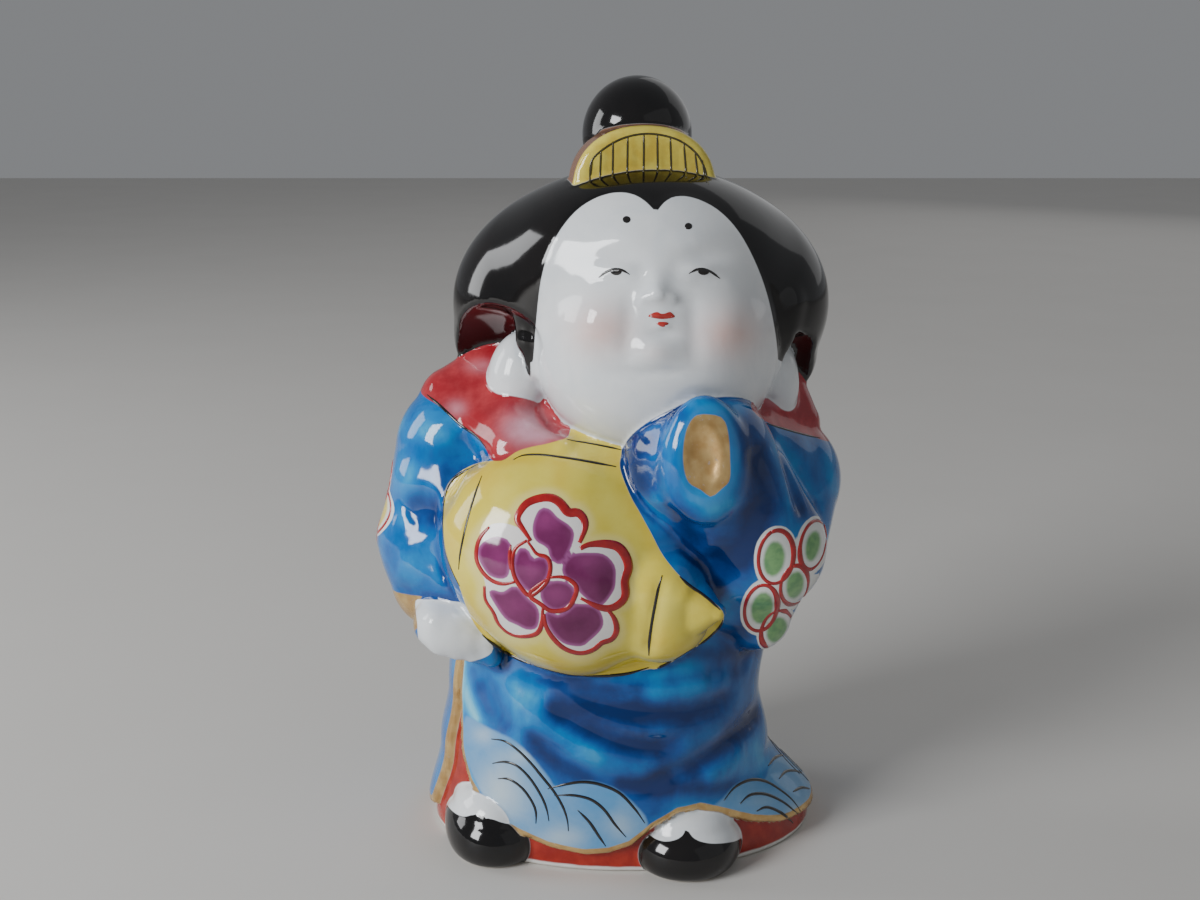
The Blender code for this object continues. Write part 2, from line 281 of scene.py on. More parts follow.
# soft relief of the face: pixel of the middle, half sizes in pixels, height in mm
RELIEF = [
    (657, 281, 9, 13, 0.45), (657.5, 294, 12.5, 9.5, 1.50), (642.5, 298.5, 6.5, 5.5, 0.60), (673, 298.5, 6.5, 5.5, 0.60),
    (616, 257, 24, 10, -0.68), (702, 257, 24, 10, -0.68), (640, 272, 8, 12, -0.25), (677, 272, 8, 12, -0.25), (616, 267, 18, 6, 0.55), (703, 267, 18, 6, 0.55),
    (616, 281, 18, 4, -0.25), (703, 281, 18, 4, -0.25),
    (626, 236, 28, 13, 0.50), (692, 238, 28, 13, 0.50), (659, 225, 12, 18, 0.10),
    (588, 322, 34, 35, 1.65), (731, 326, 34, 35, 1.65),
    (661, 318, 23, 15, 0.55), (661, 315.5, 12, 4, 0.40), (662, 324.5, 7, 3.5, 0.45), (661, 319.8, 12, 1.5, -0.35),
    (662, 334, 15, 4.5, -0.45), (657, 351, 21, 14, 1.10),
    (629, 312, 8, 18, -0.30), (693, 314, 8, 18, -0.30), (627, 342, 9, 17, -0.35), (694, 344, 9, 17, -0.35),
    (657, 373, 38, 6, -0.50),
]


def head(P):
    d = head_base(P)
    near = (P[:, 1] < -6.0) & (d < 4.0) & (d > -5.0)
    if near.any():
        Q = P[near]
        u, v, _ = pixel(Q)
        lift = np.zeros(len(Q), F)
        for cu, cv, su, sv, height in RELIEF:
            lift += height * np.exp(-((u - cu) / su) ** 2 - ((v - cv) / sv) ** 2)
        fade = step01((-6.0 - Q[:, 1]) / 6.0)
        d = d.copy()
        d[near] -= lift * fade
    return d


def ears_and_neck(P):
    d = ball(P, (3.5, -3.0, 68.0), (16.8, 13.2, 10.0))
    d = smin(d, ball(P, (-15.9, -4.6, 75.4), (5.0, 5.4, 7.3), (0, 10, 12)), 1.4)
    return smin(d, ball(P, (23.2, -3.6, 75.6), (3.5, 4.8, 6.8), (0, -10, -12)), 1.4)


# the face's edge against the hair, as it shows from the front
FACE_EDGE = [(534, 420), (532, 380), (534, 350), (536.5, 318), (540, 286), (546, 260), (555, 239), (566, 222), (580, 207.5),
             (598, 197), (616, 192.5), (632, 194), (645, 201), (656.3, 212.5), (664, 202.5), (674, 196.8), (686, 196.3),
             (700, 200), (716, 208.5), (731, 222), (744, 240), (757, 266), (767, 294), (774, 325), (777.5, 352), (778, 380),
             (774, 420)]
_peak = [p for p in FACE_EDGE if p[0] <= 656.3], [p for p in FACE_EDGE if p[0] >= 656.3]
FACE_OUTLINE = np.vstack([spline(_peak[0], 44), spline(_peak[1], 44)[1:], [(700, 470), (600, 470)]])


def face_distance(P):
    """Distance inside the face's edge, in mm, seen from the front."""
    u, v, depth = pixel(P)
    return outline_distance(np.stack([u, v], 1).astype(F), FACE_OUTLINE) * depth / FOCAL


def bun(P):
    return ball(P, (1.9, 3.0, HEIGHT - 8.7), (8.3, 8.6, 8.7))


def hair(P):
    dome = ball(P, (2.6, 1.5, 86.0), (29.0, 18.6, 20.6))
    dome = smin(dome, ball(P, (2.9, -4.0, 92.5), (21.0, 16.0, 14.6)), 2.6)
    dome = smin(dome, limb(P, (21.0, 3.5, 85.0, 8.0), (25.2, 3.5, 76.5, 5.0)), 3.0)
    dome = smin(dome, limb(P, (-16.0, 3.5, 86.0, 8.0), (-20.6, 3.0, 79.5, 5.6)), 3.0)
    left = ball(P, (-21.6, -15.0, 72.6), (13.4, 18.0, 16.0), (-14, 0, 0))
    right = ball(P, (26.6, -14.6, 68.8), (9.6, 17.5, 15.6), (-14, 0, 0))
    nape = ball(P, (2.6, 2.0, 58.0), (34.0, 26.0, 14.6))
    d = smax(smax(smax(dome, -left, 0.5), -right, 0.5), -nape, 1.2)
    d = smin(d, ball(P, (2.6, 11.5, 79.0), (15.0, 8.6, 10.5)), 4.0)
    # side locks that run down between the face and the ears
    d = smin(d, limb(P, (-14.4, -8.6, 88.5, 2.5), (-14.2, -9.6, 82.0, 1.8)), 1.5)
    d = smin(d, limb(P, (-14.2, -9.6, 82.0, 1.8), (-13.7, -10.0, 77.4, 0.6)), 0.8)
    d = smin(d, limb(P, (23.6, -8.4, 87.5, 2.4), (23.2, -9.4, 82.5, 1.6)), 1.5)
    d = smin(d, limb(P, (23.2, -9.4, 82.5, 1.6), (22.5, -9.6, 78.2, 0.6)), 0.8)
    # inside the face's edge the same form lies deeper and belongs to the face
    inner = np.full(len(P), 9.0, F)
    front = (P[:, 1] < 2.0) & (d < 6.0)
    if front.any():
        d = d.copy()
        edge = face_distance(P[front])
        inner[front] = smax(d[front] + 0.12, -edge, 0.4)
        d[front] = smax(d[front], edge, 0.4)
    return smin(d, bun(P), 0.9), inner


COMB_TURN = math.radians(9.0)


def comb_plane(P):
    """Sideways, depth and height in the comb's own frame."""
    dx, dy = P[:, 0] - 3.0, P[:, 1] + 7.4
    c, s = math.cos(COMB_TURN), math.sin(COMB_TURN)
    return dx * c + dy * s, dy * c - dx * s, P[:, 2] - 104.0


def comb(P):
    x, y, z = comb_plane(P)
    wide = 1.0 + 0.008 * np.clip(y, 0, 5)
    a, b = 10.5 * wide, 8.9 * wide
    q0, q1 = x / a, np.maximum(z, 0.0) / b
    k0 = (np.abs(q0) ** 2.2 + np.abs(q1) ** 2.2) ** (1 / 2.2) + 1e-6
    disc = (k0 - 1.0) * np.minimum(a, b) * 0.98
    crown = 0.5 * np.clip(1.0 - (x / 11.0) ** 2 - ((z - 3.5) / 8.0) ** 2, 0, 1)
    plate = np.maximum(-y - crown, y - 5.2)
    tooth = np.abs((x + 0.4) % 2.05 - 1.025)
    plate = plate + 0.10 * np.exp(-(tooth / 0.35) ** 2) * step01((6.4 - z) / 1.0) * (y < 1.0)
    return smax(smax(disc, plate, 1.0), -(z + 5.0), 0.5)


def collar(P):
    left = web(P, (-18.5, 3.0, 77.5, 3.6), (-26.5, 0.5, 70.5, 5.6), (-16.0, -12.5, 66.0, 4.8))
    left = smin(left, limb(P, (-16.0, -12.5, 66.0, 4.6), (-9.0, -16.8, 66.6, 2.4)), 2.5)
    right = web(P, (24.8, 3.0, 75.5, 2.7), (26.8, 0.5, 67.0, 4.2), (18.5, -9.0, 67.0, 4.5))
    back = np.minimum(limb(P, (-19.0, 7.5, 74.0, 4.0), (3.0, 15.8, 70.4, 4.0)),
                      limb(P, (3.0, 15.8, 70.4, 4.0), (24.5, 7.5, 73.0, 3.8)))
    return smin(np.minimum(left, right), back, 3.0)


def robe(P):
    d = smin(ball(P, (-2.0, 1.0, 55.0), (27.5, 17.0, 23.0)), ball(P, (0.0, 5.0, 65.5), (26.5, 12.5, 12.5)), 3.0)
    low = web(P, (-24.6, -0.5, 63.2, 11.2), (-29.6, -3.0, 49.0, 9.0), (-22.0, -8.0, 52.0, 8.0))
    low = smin(low, limb(P, (-29.6, -3.0, 49.0, 9.0), (-29.2, -4.5, 42.4, 7.4)), 1.5)
    low = smin(low, limb(P, (-28.6, -5.5, 46.0, 8.0), (-25.0, -9.5, 43.4, 6.6)), 2.0)
    shoulder = web(P, (23.6, -0.5, 58.2, 10.8), (22.6, -7.0, 50.0, 9.0), (16.0, -8.0, 64.0, 9.0))
    arm = limb(P, (10.8, -18.2, 66.2, 10.9), (20.5, -14.5, 52.0, 9.6))
    hang = web(P, (21.0, -12.0, 50.0, 9.0), (20.1, -12.5, 40.0, 5.6), (12.0, -14.0, 48.0, 7.0))
    sleeve = smin(smin(arm, hang, 2.0), shoulder, 1.2)
    # raised rim of the sleeve's mouth, and the hollow in it
    mouth = ball(P, (10.8, -26.6, 68.4), (5.9, 3.4, 9.0), (-8, 0, 8))
    sleeve = smin(sleeve, mouth, 1.6)
    sleeve = smax(sleeve, -ball(P, (10.4, -31.4, 69.4), (3.5, 3.0, 6.2), (-10, 0, 6)), 0.9)
    return smin(smin(d, low, 1.2), sleeve, 1.0)


def outer_skirt(P):
    return smax(skirt_field(P), -hem_distance(P), 0.7)


def under_skirt(P):
    return skirt_field(P) + 1.2


def sash(P):
    d = ball(P, (-10.0, -13.2, 49.6), (19.2, 16.0, 15.4), (0, 45, 0), 2.2)
    d = smin(d, limb(P, (-4.0, -15.6, 45.6, 11.2), (4.6, -17.6, 43.6, 8.6)), 1.5)
    d = smin(d, limb(P, (-7.0, -14.5, 58.0, 10.4), (3.0, -14.5, 55.0, 9.6)), 3.0)
    # the knotted end, a blunt corner that stands out
    corner = web(P, (4.8, -19.6, 47.6, 7.6), (5.0, -19.4, 43.0, 7.4), (13.2, -25.0, 45.2, 1.3))
    d = smin(d, corner, 0.7)
    band = ball(P, (-1.0, 1.0, 53.0), (26.0, 18.6, 12.0), (0, 0, 0), 2.8)
    belt = ball(P, (-3.0, -8.0, 62.0), (17.0, 13.2, 7.6), (0, 4, 0), 2.4)
    return smin(smin(d, band, 1.0), belt, 0.8)


def fist(P):
    d = ball(P, (-25.6, -12.6, 38.4), (6.8, 6.4, 4.7), (0, 14, 0), 2.3)
    for i, x in enumerate((-28.4, -25.8, -23.2, -20.8)):
        d = smin(d, limb(P, (x, -16.6, 40.2 - 0.8 * i, 1.9), (x + 0.6, -16.0, 36.6 - 0.7 * i, 1.8)), 0.8)
    return d


def sandals(P):
    left = ball(P, (-20.8, -10.6, 3.2), (7.9, 10.0, 6.2), (0, 0, 12), 2.15)
    right = ball(P, (9.9, -14.4, 3.2), (8.9, 10.2, 6.0), (0, 0, -4), 2.15)
    return np.minimum(left, right)


def toes(P):
    left = ball(P, (-21.0, -10.4, 7.0), (6.2, 8.4, 4.6), (0, 0, 12))
    right = ball(P, (9.9, -14.0, 6.8), (7.5, 8.4, 4.4), (0, 0, -4))
    return np.minimum(left, right)


GROUPS = ["head", "neck", "hair", "comb", "collar", "robe", "skirt", "under", "sash", "fist", "sandals", "toes"]


def group_fields(P):
    P = np.ascontiguousarray(P, F)
    locks, inner = hair(P)
    return [smin(head(P), inner, 2.0), ears_and_neck(P), locks, comb(P), collar(P), robe(P), outer_skirt(P), under_skirt(P),
            sash(P), fist(P), sandals(P), toes(P)]


def body_field(P, groups=None):
    """The whole figure before folds: sharp enough where forms meet for the glaze to pool there."""
    g = groups if groups is not None else group_fields(P)
    hd, nk, hr, cb, co, rb, sk, un, sa, fi, sd, to = g
    flesh = smin(hd, nk, 1.2)
    d = smin(flesh, hr, 0.35)
    d = smin(d, cb, 0.5)
    d = smin(d, co, 0.7)
    cloth = smin(rb, sk, 1.6)
    cloth = smin(cloth, un, 0.3)
    cloth = smin(cloth, sa, 0.7)
    cloth = smin(cloth, fi, 0.7)
    feet = smin(sd, to, 0.5)
    cloth = smin(cloth, feet, 0.5)
    d = smin(d, cloth, 0.7)
    return smax(d, -P[:, 2], 0.8)


def trace(u, v, field=body_field):
    """Where a line of sight first meets the figure."""
    o, d = EYE, ray(u, v)
    t = 150.0
    for _ in range(80):
        p = (o + d * t).astype(F)[None]
        s = float(field(p)[0])
        t += s * 0.8
        if abs(s) < 0.005:
            break
        if t > 330:
            return None
    return o + d * t


# ---- folds and creases: pixels along the line, width mm, depth mm (minus is a ridge) --------
FOLD_LINES = [
    ([(540, 703), (575, 722), (612, 738), (652, 747), (690, 744)], 2.0, 1.15),
    ([(560, 690), (600, 706), (650, 714), (700, 708), (742, 690)], 2.0, 0.85),
    ([(548, 697), (590, 716), (640, 729), (690, 727)], 1.6, -0.45),
    ([(520, 726), (552, 752), (590, 778), (632, 788), (680, 782)], 2.2, 0.80),
    ([(762, 706), (742, 728), (714, 752), (680, 772), (640, 784)], 1.7, 0.95),
    ([(768, 725), (748, 748), (722, 768), (700, 782)], 2.2, -0.45),
    ([(500, 680), (520, 705), (545, 730), (575, 752), (612, 765)], 2.2, -0.50),
    ([(478, 676), (492, 706), (510, 740)], 2.0, 0.55),
    ([(700, 676), (728, 668), (752, 662)], 1.8, 0.55),
    ([(640, 686), (690, 688), (735, 678)], 2.0, -0.35),
    # lowered sleeve
    ([(452, 432), (470, 452), (490, 462)], 1.8, 0.55),
    ([(404, 520), (420, 508), (440, 512)], 2.2, 0.75),
    ([(392, 470), (408, 482), (432, 492), (446, 500)], 2.4, -0.40),
    ([(396, 560), (420, 574), (446, 580)], 2.4, -0.35),
    ([(394, 590), (415, 592), (440, 598), (460, 606)], 1.6, 0.40),
    ([(440, 420), (455, 470), (447, 520)], 2.6, 0.45),
    # raised sleeve
    ([(772, 424), (782, 452), (794, 486), (806, 524)], 1.3, 1.15),
    ([(790, 440), (806, 470), (818, 505)], 2.6, -0.35),
    ([(752, 500), (745, 530), (730, 556), (706, 580)], 2.6, 0.75),
    ([(752, 440), (760, 480), (756, 520)], 2.4, 0.60),
    ([(664, 500), (684, 530), (708, 548)], 2.2, 0.45),
    ([(648, 432), (640, 460), (652, 492)], 2.2, 0.35),
    ([(724, 640), (742, 632), (756, 618)], 1.8, 0.40),
    # crease where the knotted end leaves the sash
    ([(664, 572), (658, 600), (652, 630), (648, 658)], 0.9, 0.75),
    ([(676, 590), (698, 604), (718, 612)], 1.8, -0.35),
]
FOLDS = []
for pts, width, depth in FOLD_LINES:
    hits = [trace(u, v) for u, v in pts]
    hits = [h for h in hits if h is not None]
    if len(hits) > 1:
        FOLDS.append((spline(hits, 4 * len(hits)), width, depth))

# the same kind of folds on the sides and back, by degrees round the figure and height
BACK_FOLDS = [
    ([(100, 30), (125, 24), (150, 21), (175, 20)], 2.2, 0.8),
    ([(95, 18), (120, 13), (150, 11), (180, 11)], 2.2, 0.7),
    ([(-100, 31), (-125, 26), (-150, 23), (-178, 22)], 2.2, 0.8),
    ([(-98, 19), (-125, 14), (-150, 12), (-178, 11)], 2.2, 0.7),
    ([(110, 23), (140, 17), (170, 15)], 2.2, -0.4),
    ([(-110, 24), (-140, 18), (-170, 16)], 2.2, -0.4),
]
for pts, width, depth in BACK_FOLDS:
    dense = spline(pts, 24)
    line = []
    for a, z in dense:
        s, c = math.sin(math.radians(a)), math.cos(math.radians(a))
        zz = np.array([z], F)
        ra = stations(RIGHT if s > 0 else LEFT, zz)[0]
        rb = stations(FRONT if c > 0 else BACK, zz)[0]
        r = 1.0 / math.sqrt((s / ra) ** 2 + (c / rb) ** 2)
        line.append((r * s, -r * c, z))
    FOLDS.append((np.array(line), width, depth))


def folds(P):
    lift = np.zeros(len(P), F)
    for line, width, depth in FOLDS:
        lo, hi = line.min(0) - 3.2 * width, line.max(0) + 3.2 * width
        near = ((P >= lo) & (P <= hi)).all(1)
        if not near.any():
            continue
        dist, along = line_distance(P[near], line)
        taper = step01(along / 0.22) * step01((1.0 - along) / 0.22)
        lift[near] += depth * taper * np.exp(-(dist / width) ** 2)
    return lift


def figure_field(P):
    P = np.ascontiguousarray(P, F)
    g = group_fields(P)
    cloth = np.minimum(np.minimum(g[5], g[6]), g[8])
    other = np.minimum(np.minimum(np.minimum(g[0], g[1]), np.minimum(g[2], g[3])), np.minimum(g[9], g[11]))
    return body_field(P, g) + folds(P) * step01((other - cloth) / 1.5 + 0.5)


def gradient(field, P, eps=0.06):
    out = np.empty((len(P), 3), F)
    for k in range(3):
        e = np.zeros(3, F)
        e[k] = eps
        out[:, k] = (field(P + e) - field(P - e)) / (2 * eps)
    return out


# ---- a skin over the field -----------------------------------------------------------------

def spaced(stops):
    """Grid lines whose spacing changes along the way: (start, spacing) pairs, then the end."""
    at, out = stops[0][0], []
    for (a, h), (b, _) in zip(stops, stops[1:]):
        n = max(1, round((b - at) / h))
        out += list(at + (b - at) * np.arange(n) / n)
        at = b
    return np.array(out + [at], F)


def skin(field, X, Y, Z, block=4):
    nx, ny, nz = len(X), len(Y), len(Z)
    # coarse look, to find where the surface is
    ix, iy, iz = (np.unique(np.r_[np.arange(0, n, block), n - 1]) for n in (nx, ny, nz))
    C = np.stack(np.meshgrid(X[ix], Y[iy], Z[iz], indexing="ij"), -1).reshape(-1, 3)
    coarse = field(C).reshape(len(ix), len(iy), len(iz))
    reach = np.sqrt(np.diff(X).max() ** 2 + np.diff(Y).max() ** 2 + np.diff(Z).max() ** 2) * block * 1.15
    D = np.empty((nx, ny, nz), F)
    need = np.zeros((nx, ny, nz), bool)
    for a in range(len(ix) - 1):
        for b in range(len(iy) - 1):
            corner = coarse[a:a + 2, b:b + 2]
            low = np.abs(corner).min((0, 1))
            for c in range(len(iz) - 1):
                sl = (slice(ix[a], ix[a + 1] + 1), slice(iy[b], iy[b + 1] + 1), slice(iz[c], iz[c + 1] + 1))
                if min(low[c], low[c + 1]) < reach:
                    need[sl] = True
                D[sl] = coarse[a, b, c]
    idx = np.argwhere(need)
    pts = np.stack([X[idx[:, 0]], Y[idx[:, 1]], Z[idx[:, 2]]], 1)
    vals = np.concatenate([field(pts[i:i + 200000]) for i in range(0, len(pts), 200000)])
    D[need] = vals
    inside = D < 0
    # one vertex in each cell that the surface passes through
    cell = np.zeros((nx - 1, ny - 1, nz - 1), np.int8)
    for i in (0, 1):
        for j in (0, 1):
            for k in (0, 1):
                cell += inside[i:nx - 1 + i, j:ny - 1 + j, k:nz - 1 + k]
    act = (cell > 0) & (cell < 8)
    ai, aj, ak = np.nonzero(act)
    number = -np.ones(act.shape, np.int64)
    number[act] = np.arange(len(ai))
    total = np.zeros((len(ai), 3))
    hits = np.zeros(len(ai))
    edges = [((i, j, 0), (i, j, 1)) for i in (0, 1) for j in (0, 1)]
    edges += [((i, 0, k), (i, 1, k)) for i in (0, 1) for k in (0, 1)]
    edges += [((0, j, k), (1, j, k)) for j in (0, 1) for k in (0, 1)]
    for p, q in edges:
        dp = D[ai + p[0], aj + p[1], ak + p[2]]
        dq = D[ai + q[0], aj + q[1], ak + q[2]]
        cross = (dp < 0) != (dq < 0)
        t = np.where(cross, dp / np.where(cross, dp - dq, 1), 0)
        for axis, (G, g) in enumerate(((X, ai), (Y, aj), (Z, ak))):
            a0, a1 = G[g + p[axis]], G[g + q[axis]]
            total[:, axis] += np.where(cross, a0 + (a1 - a0) * t, 0)
        hits += cross
    V = total / hits[:, None]
    quads = []
    for axis in range(3):
        lo = [slice(1, -1)] * 3
        hi = [slice(1, -1)] * 3
        lo[axis], hi[axis] = slice(0, -1), slice(1, None)
        a, b = inside[tuple(lo)], inside[tuple(hi)]
        e = np.argwhere(a != b)
        base = e + np.array([0 if k == axis else 1 for k in range(3)])
        out = a[tuple(e.T)]
        o1, o2 = (axis + 1) % 3, (axis + 2) % 3
        def cell_at(d1, d2):
            m = base.copy()
            m[:, o1] -= d1
            m[:, o2] -= d2
            return number[m[:, 0], m[:, 1], m[:, 2]]
        q = np.stack([cell_at(1, 1), cell_at(0, 1), cell_at(0, 0), cell_at(1, 0)], 1)
        q[~out] = q[~out][:, ::-1]
        quads.append(q)
    return V.astype(F), np.vstack(quads)


def mesh_object(name, V, faces, smooth=True):
    mesh = bpy.data.meshes.new(name)
    V = np.asarray(V, float) * MM
    mesh.vertices.add(len(V))
    mesh.vertices.foreach_set("co", V.astype(F).ravel())
    faces = np.asarray(faces)
    n, w = faces.shape
    mesh.loops.add(n * w)
    mesh.loops.foreach_set("vertex_index", faces.astype(np.int32).ravel())
    mesh.polygons.add(n)
    mesh.polygons.foreach_set("loop_start", np.arange(0, n * w, w, dtype=np.int32))
    mesh.update(calc_edges=True)
    mesh.validate()
    if smooth:
        mesh.shade_smooth()
    obj = bpy.data.objects.new(name, mesh)
    bpy.context.scene.collection.objects.link(obj)
    return obj


# grid: finest at the front and round the head
XS = spaced([(-42.0, 0.64), (38.0, 0.64)])
YS = spaced([(-33.5, 0.56), (-3.0, 0.75), (6.0, 1.0), (23.0, 1.0)])
ZS = spaced([(-1.6, 0.66), (62.0, 0.62), (104.0, 0.62), (122.0, 0.62)])

V, Q = skin(figure_field, XS, YS, ZS)
for _ in range(3):
    g = gradient(figure_field, V)
    g2 = np.maximum((g * g).sum(1), 0.05)
    move = (figure_field(V) / g2)[:, None] * g
    V = V - np.clip(move, -0.4, 0.4)
V[:, 2] = np.where(V[:, 2] < 0.04, 0.0, V[:, 2])
print("skin", len(V), "vertices", len(Q) * 2, "triangles")

figure = mesh_object("figure_glazed", V, Q)

# ---- what is painted where, as smooth values on the skin -----------------------------------
P = V.astype(F)
G = np.array(group_fields(P))
normal = gradient(figure_field, P)
normal /= np.maximum(np.linalg.norm(normal, axis=1), 1e-6)[:, None]
_u, _v, DEPTH = pixel(P)
U2 = np.stack([_u, _v], 1).astype(F)
TO_MM = (DEPTH / FOCAL).astype(F)
FACING = ((P - EYE.astype(F)) * normal).sum(1) < 0.0
FRONTAL = (P[:, 1] < 6.0) & (FACING | (P[:, 1] < -8.0))
FRONTAL |= (P[:, 1] < 0.0) & (P[:, 0] < -19.0) & (P[:, 2] > 31.0) & (P[:, 2] < 47.0)    # all round the cuff and hand
BODY = BVHTree.FromPolygons([tuple(p) for p in V.astype(float)], Q.tolist())


def margin(*names):
    """How far inside a group of forms a point lies: positive where the group is nearest."""
    own = np.min([G[GROUPS.index(n)] for n in names], 0)
    rest = np.min([G[i] for i, n in enumerate(GROUPS) if n not in names], 0)
    return (rest - own) * 0.5


def painted(outline, count=64):
    """Distance inside an outline given in pixels, in mm; far outside on hidden sides."""
    return np.where(FRONTAL, outline_distance(U2, loop_spline(outline, count)) * TO_MM, -9.0).astype(F)


def near_line(points, width):
    """Soft strip along a line given in pixels, 0 to 1; width in pixels."""
    d, _ = line_distance(U2, spline(points, 3 * len(points)))
    return np.where(FRONTAL, np.exp(-(d / width) ** 2), 0.0).astype(F)


def spots(table):
    """Sum of soft pixel spots (u, v, half width, half height, weight)."""
    out = np.zeros(len(P), F)
    for u, v, su, sv, w in table:
        out += w * np.exp(-((U2[:, 0] - u) / su) ** 2 - ((U2[:, 1] - v) / sv) ** 2)
    return np.where(FRONTAL, out, 0.0).astype(F)


def store(name, values):
    a = figure.data.attributes.new(name, "FLOAT", "POINT")
    a.data.foreach_set("value", np.ascontiguousarray(values, F))


m_flesh = margin("head", "neck", "fist")
# on the front the sash is bounded by its painted outline, elsewhere by its form
SASH_OUTLINE = [(478, 463), (463, 470), (451, 480), (444.5, 495), (442.5, 519), (443.5, 541), (446.5, 557), (452, 572),
                (459.5, 587), (466, 606), (475, 625), (488, 640), (505, 652), (525, 662), (549, 670), (568, 674.5), (588, 676),
                (608, 676.3), (628, 674), (648, 669), (658, 668.5), (675, 660), (691, 650), (707, 640), (720.5, 627),
                (724, 616), (721, 609), (711, 600), (701, 592), (689, 584), (676, 572), (662, 554), (652, 535),
                (640, 513), (630, 495), (620, 468), (621.5, 450), (618, 428), (598, 420), (574, 424), (568, 437), (560, 440),
                (546, 444), (531, 447), (517, 451.5), (503, 460.5), (491, 460.8)]
HAND = [(415.5, 601), (424, 599.5), (440, 600), (455, 601.5), (464, 604), (472, 618), (480, 632), (490, 641),
        (493, 648), (489, 655), (474, 661), (452, 664), (434, 662), (420, 645), (417, 622)]
family = margin("robe", "skirt", "sash", "collar", "fist")
hand = np.minimum(painted(HAND, 100), G[GROUPS.index("skirt")] - np.minimum(G[GROUPS.index("robe")], G[GROUPS.index("fist")]))
sash_front = painted(SASH_OUTLINE, 220)
m_sash = np.where(FRONTAL, np.minimum(family, sash_front), margin("sash"))
m_cloth = np.where(FRONTAL, np.minimum(np.minimum(family, -sash_front), -hand), margin("robe", "skirt"))
# so is the hairline
face_in = face_distance(P)
m_hair = margin("hair")
brow_zone = FRONTAL & (np.abs(face_in) < 2.4) & (P[:, 2] > 79.0) & (P[:, 1] < 1.0) & \
    (np.minimum(G[0], G[2]) < np.minimum(G[1], G[4]) - 0.3)
m_hair = np.where(brow_zone, np.minimum(margin("head", "hair", "neck", "collar"), -face_in), m_hair)
# the hollows under the wings of hair are black all the way in
deep = ~FACING & (P[:, 1] > -6.0) & (G[GROUPS.index("collar")] <= G.min(0) + 0.4)
under_hair = np.minimum(np.minimum(5.0 - G[GROUPS.index("hair")], 8.0 - P[:, 1]), (0.05 - normal[:, 1]) * 8.0) * 0.5
m_hair = np.where(deep, np.maximum(m_hair, under_hair), m_hair)
store("m_hair", m_hair)
store("m_comb", margin("comb"))
store("m_under", margin("under"))
TABI_LEFT = [(441, 794), (446, 789), (461, 784), (483, 780), (488, 786), (492, 794), (501, 806), (512, 817), (518, 824),
             (506, 823.5), (495, 820), (488, 815.5), (484, 811), (478.5, 805.5), (475.5, 811), (471, 815), (463, 816.5),
             (455, 813), (448, 806)]
TABI_RIGHT = [(646, 826), (655, 820), (672, 812), (693, 809), (719, 812), (735, 820), (745, 828), (744, 835), (737, 840.5),
              (725, 843), (711, 843.5), (699, 841), (692, 836.5), (687, 829), (682, 836), (675, 840), (665, 841.5),
              (655, 838.5), (649, 833)]
feet = margin("toes", "sandals")
tabi = np.maximum(painted(TABI_LEFT, 120), painted(TABI_RIGHT, 120))
tabi = np.where(P[:, 2] > 8.2, margin("toes"), tabi)
store("m_toes", np.minimum(feet, tabi))
store("m_sandal", np.minimum(feet, -tabi))
store("m_cloth", m_cloth)
store("m_sash", m_sash)
store("hem", hem_distance(P))
store("high", P[:, 2])
store("comb_back", comb_plane(P)[1])
store("hollow", np.clip((1.6 - figure_field(P + normal * 1.6)) / 1.6, -1, 1))
store("ridge", np.clip((1.6 + figure_field(P - normal * 1.6)) / 1.6, -1, 1))

# red collar, painted past the collar's own form onto the shoulders
COLLAR_LEFT = [(525, 340), (500, 332), (470, 338), (450, 352), (420, 388), (440, 407), (461, 426), (476, 437), (486, 449),
               (492, 461), (503, 461), (517, 452), (532, 448), (559, 442), (568, 437), (570, 428), (578, 415), (560, 395),
               (540, 375)]
COLLAR_RIGHT = [(751, 407), (760, 388), (780, 368), (812, 362), (832, 380), (838, 420), (832, 441), (806, 434), (790, 430),
                (767, 422)]
side = np.where(P[:, 0] < 0, -24.5, 28.5)
behind = np.where(FRONTAL, -9.0, np.maximum(margin("collar"), P[:, 2] - 69.0))
red = np.maximum(np.maximum(painted(COLLAR_LEFT), painted(COLLAR_RIGHT)), behind)
store("red", np.minimum(np.minimum(red, -m_flesh + 0.05), margin("collar", "robe", "sash", "skirt") + 0.05))
# pale pink patches on the collar: thin red enamel over the white, and painted highlight
store("red_thin_and_highlight", spots([(524, 428, 20, 17, 1.0), (456, 408, 10, 8, 0.5), (480, 366, 14, 7, 0.35), (776, 400, 13, 7, 0.5),
                         (545, 436, 16, 7, 0.5)]))

# gold in the raised sleeve's mouth, and at the lowered sleeve's cuff
GOLD_MOUTH = [(702, 414), (721, 417), (728, 431), (730, 454), (730, 479), (722, 489), (711, 497), (701, 490), (689, 483),
              (684, 469), (683, 450), (686, 431), (693, 418)]
GOLD_CUFF = [(386, 588), (397, 592), (410, 594.5), (424, 597), (417, 602), (417.5, 612), (418.5, 626), (410, 632), (396, 618)]
store("gold", np.maximum(painted(GOLD_MOUTH), painted(GOLD_CUFF)))

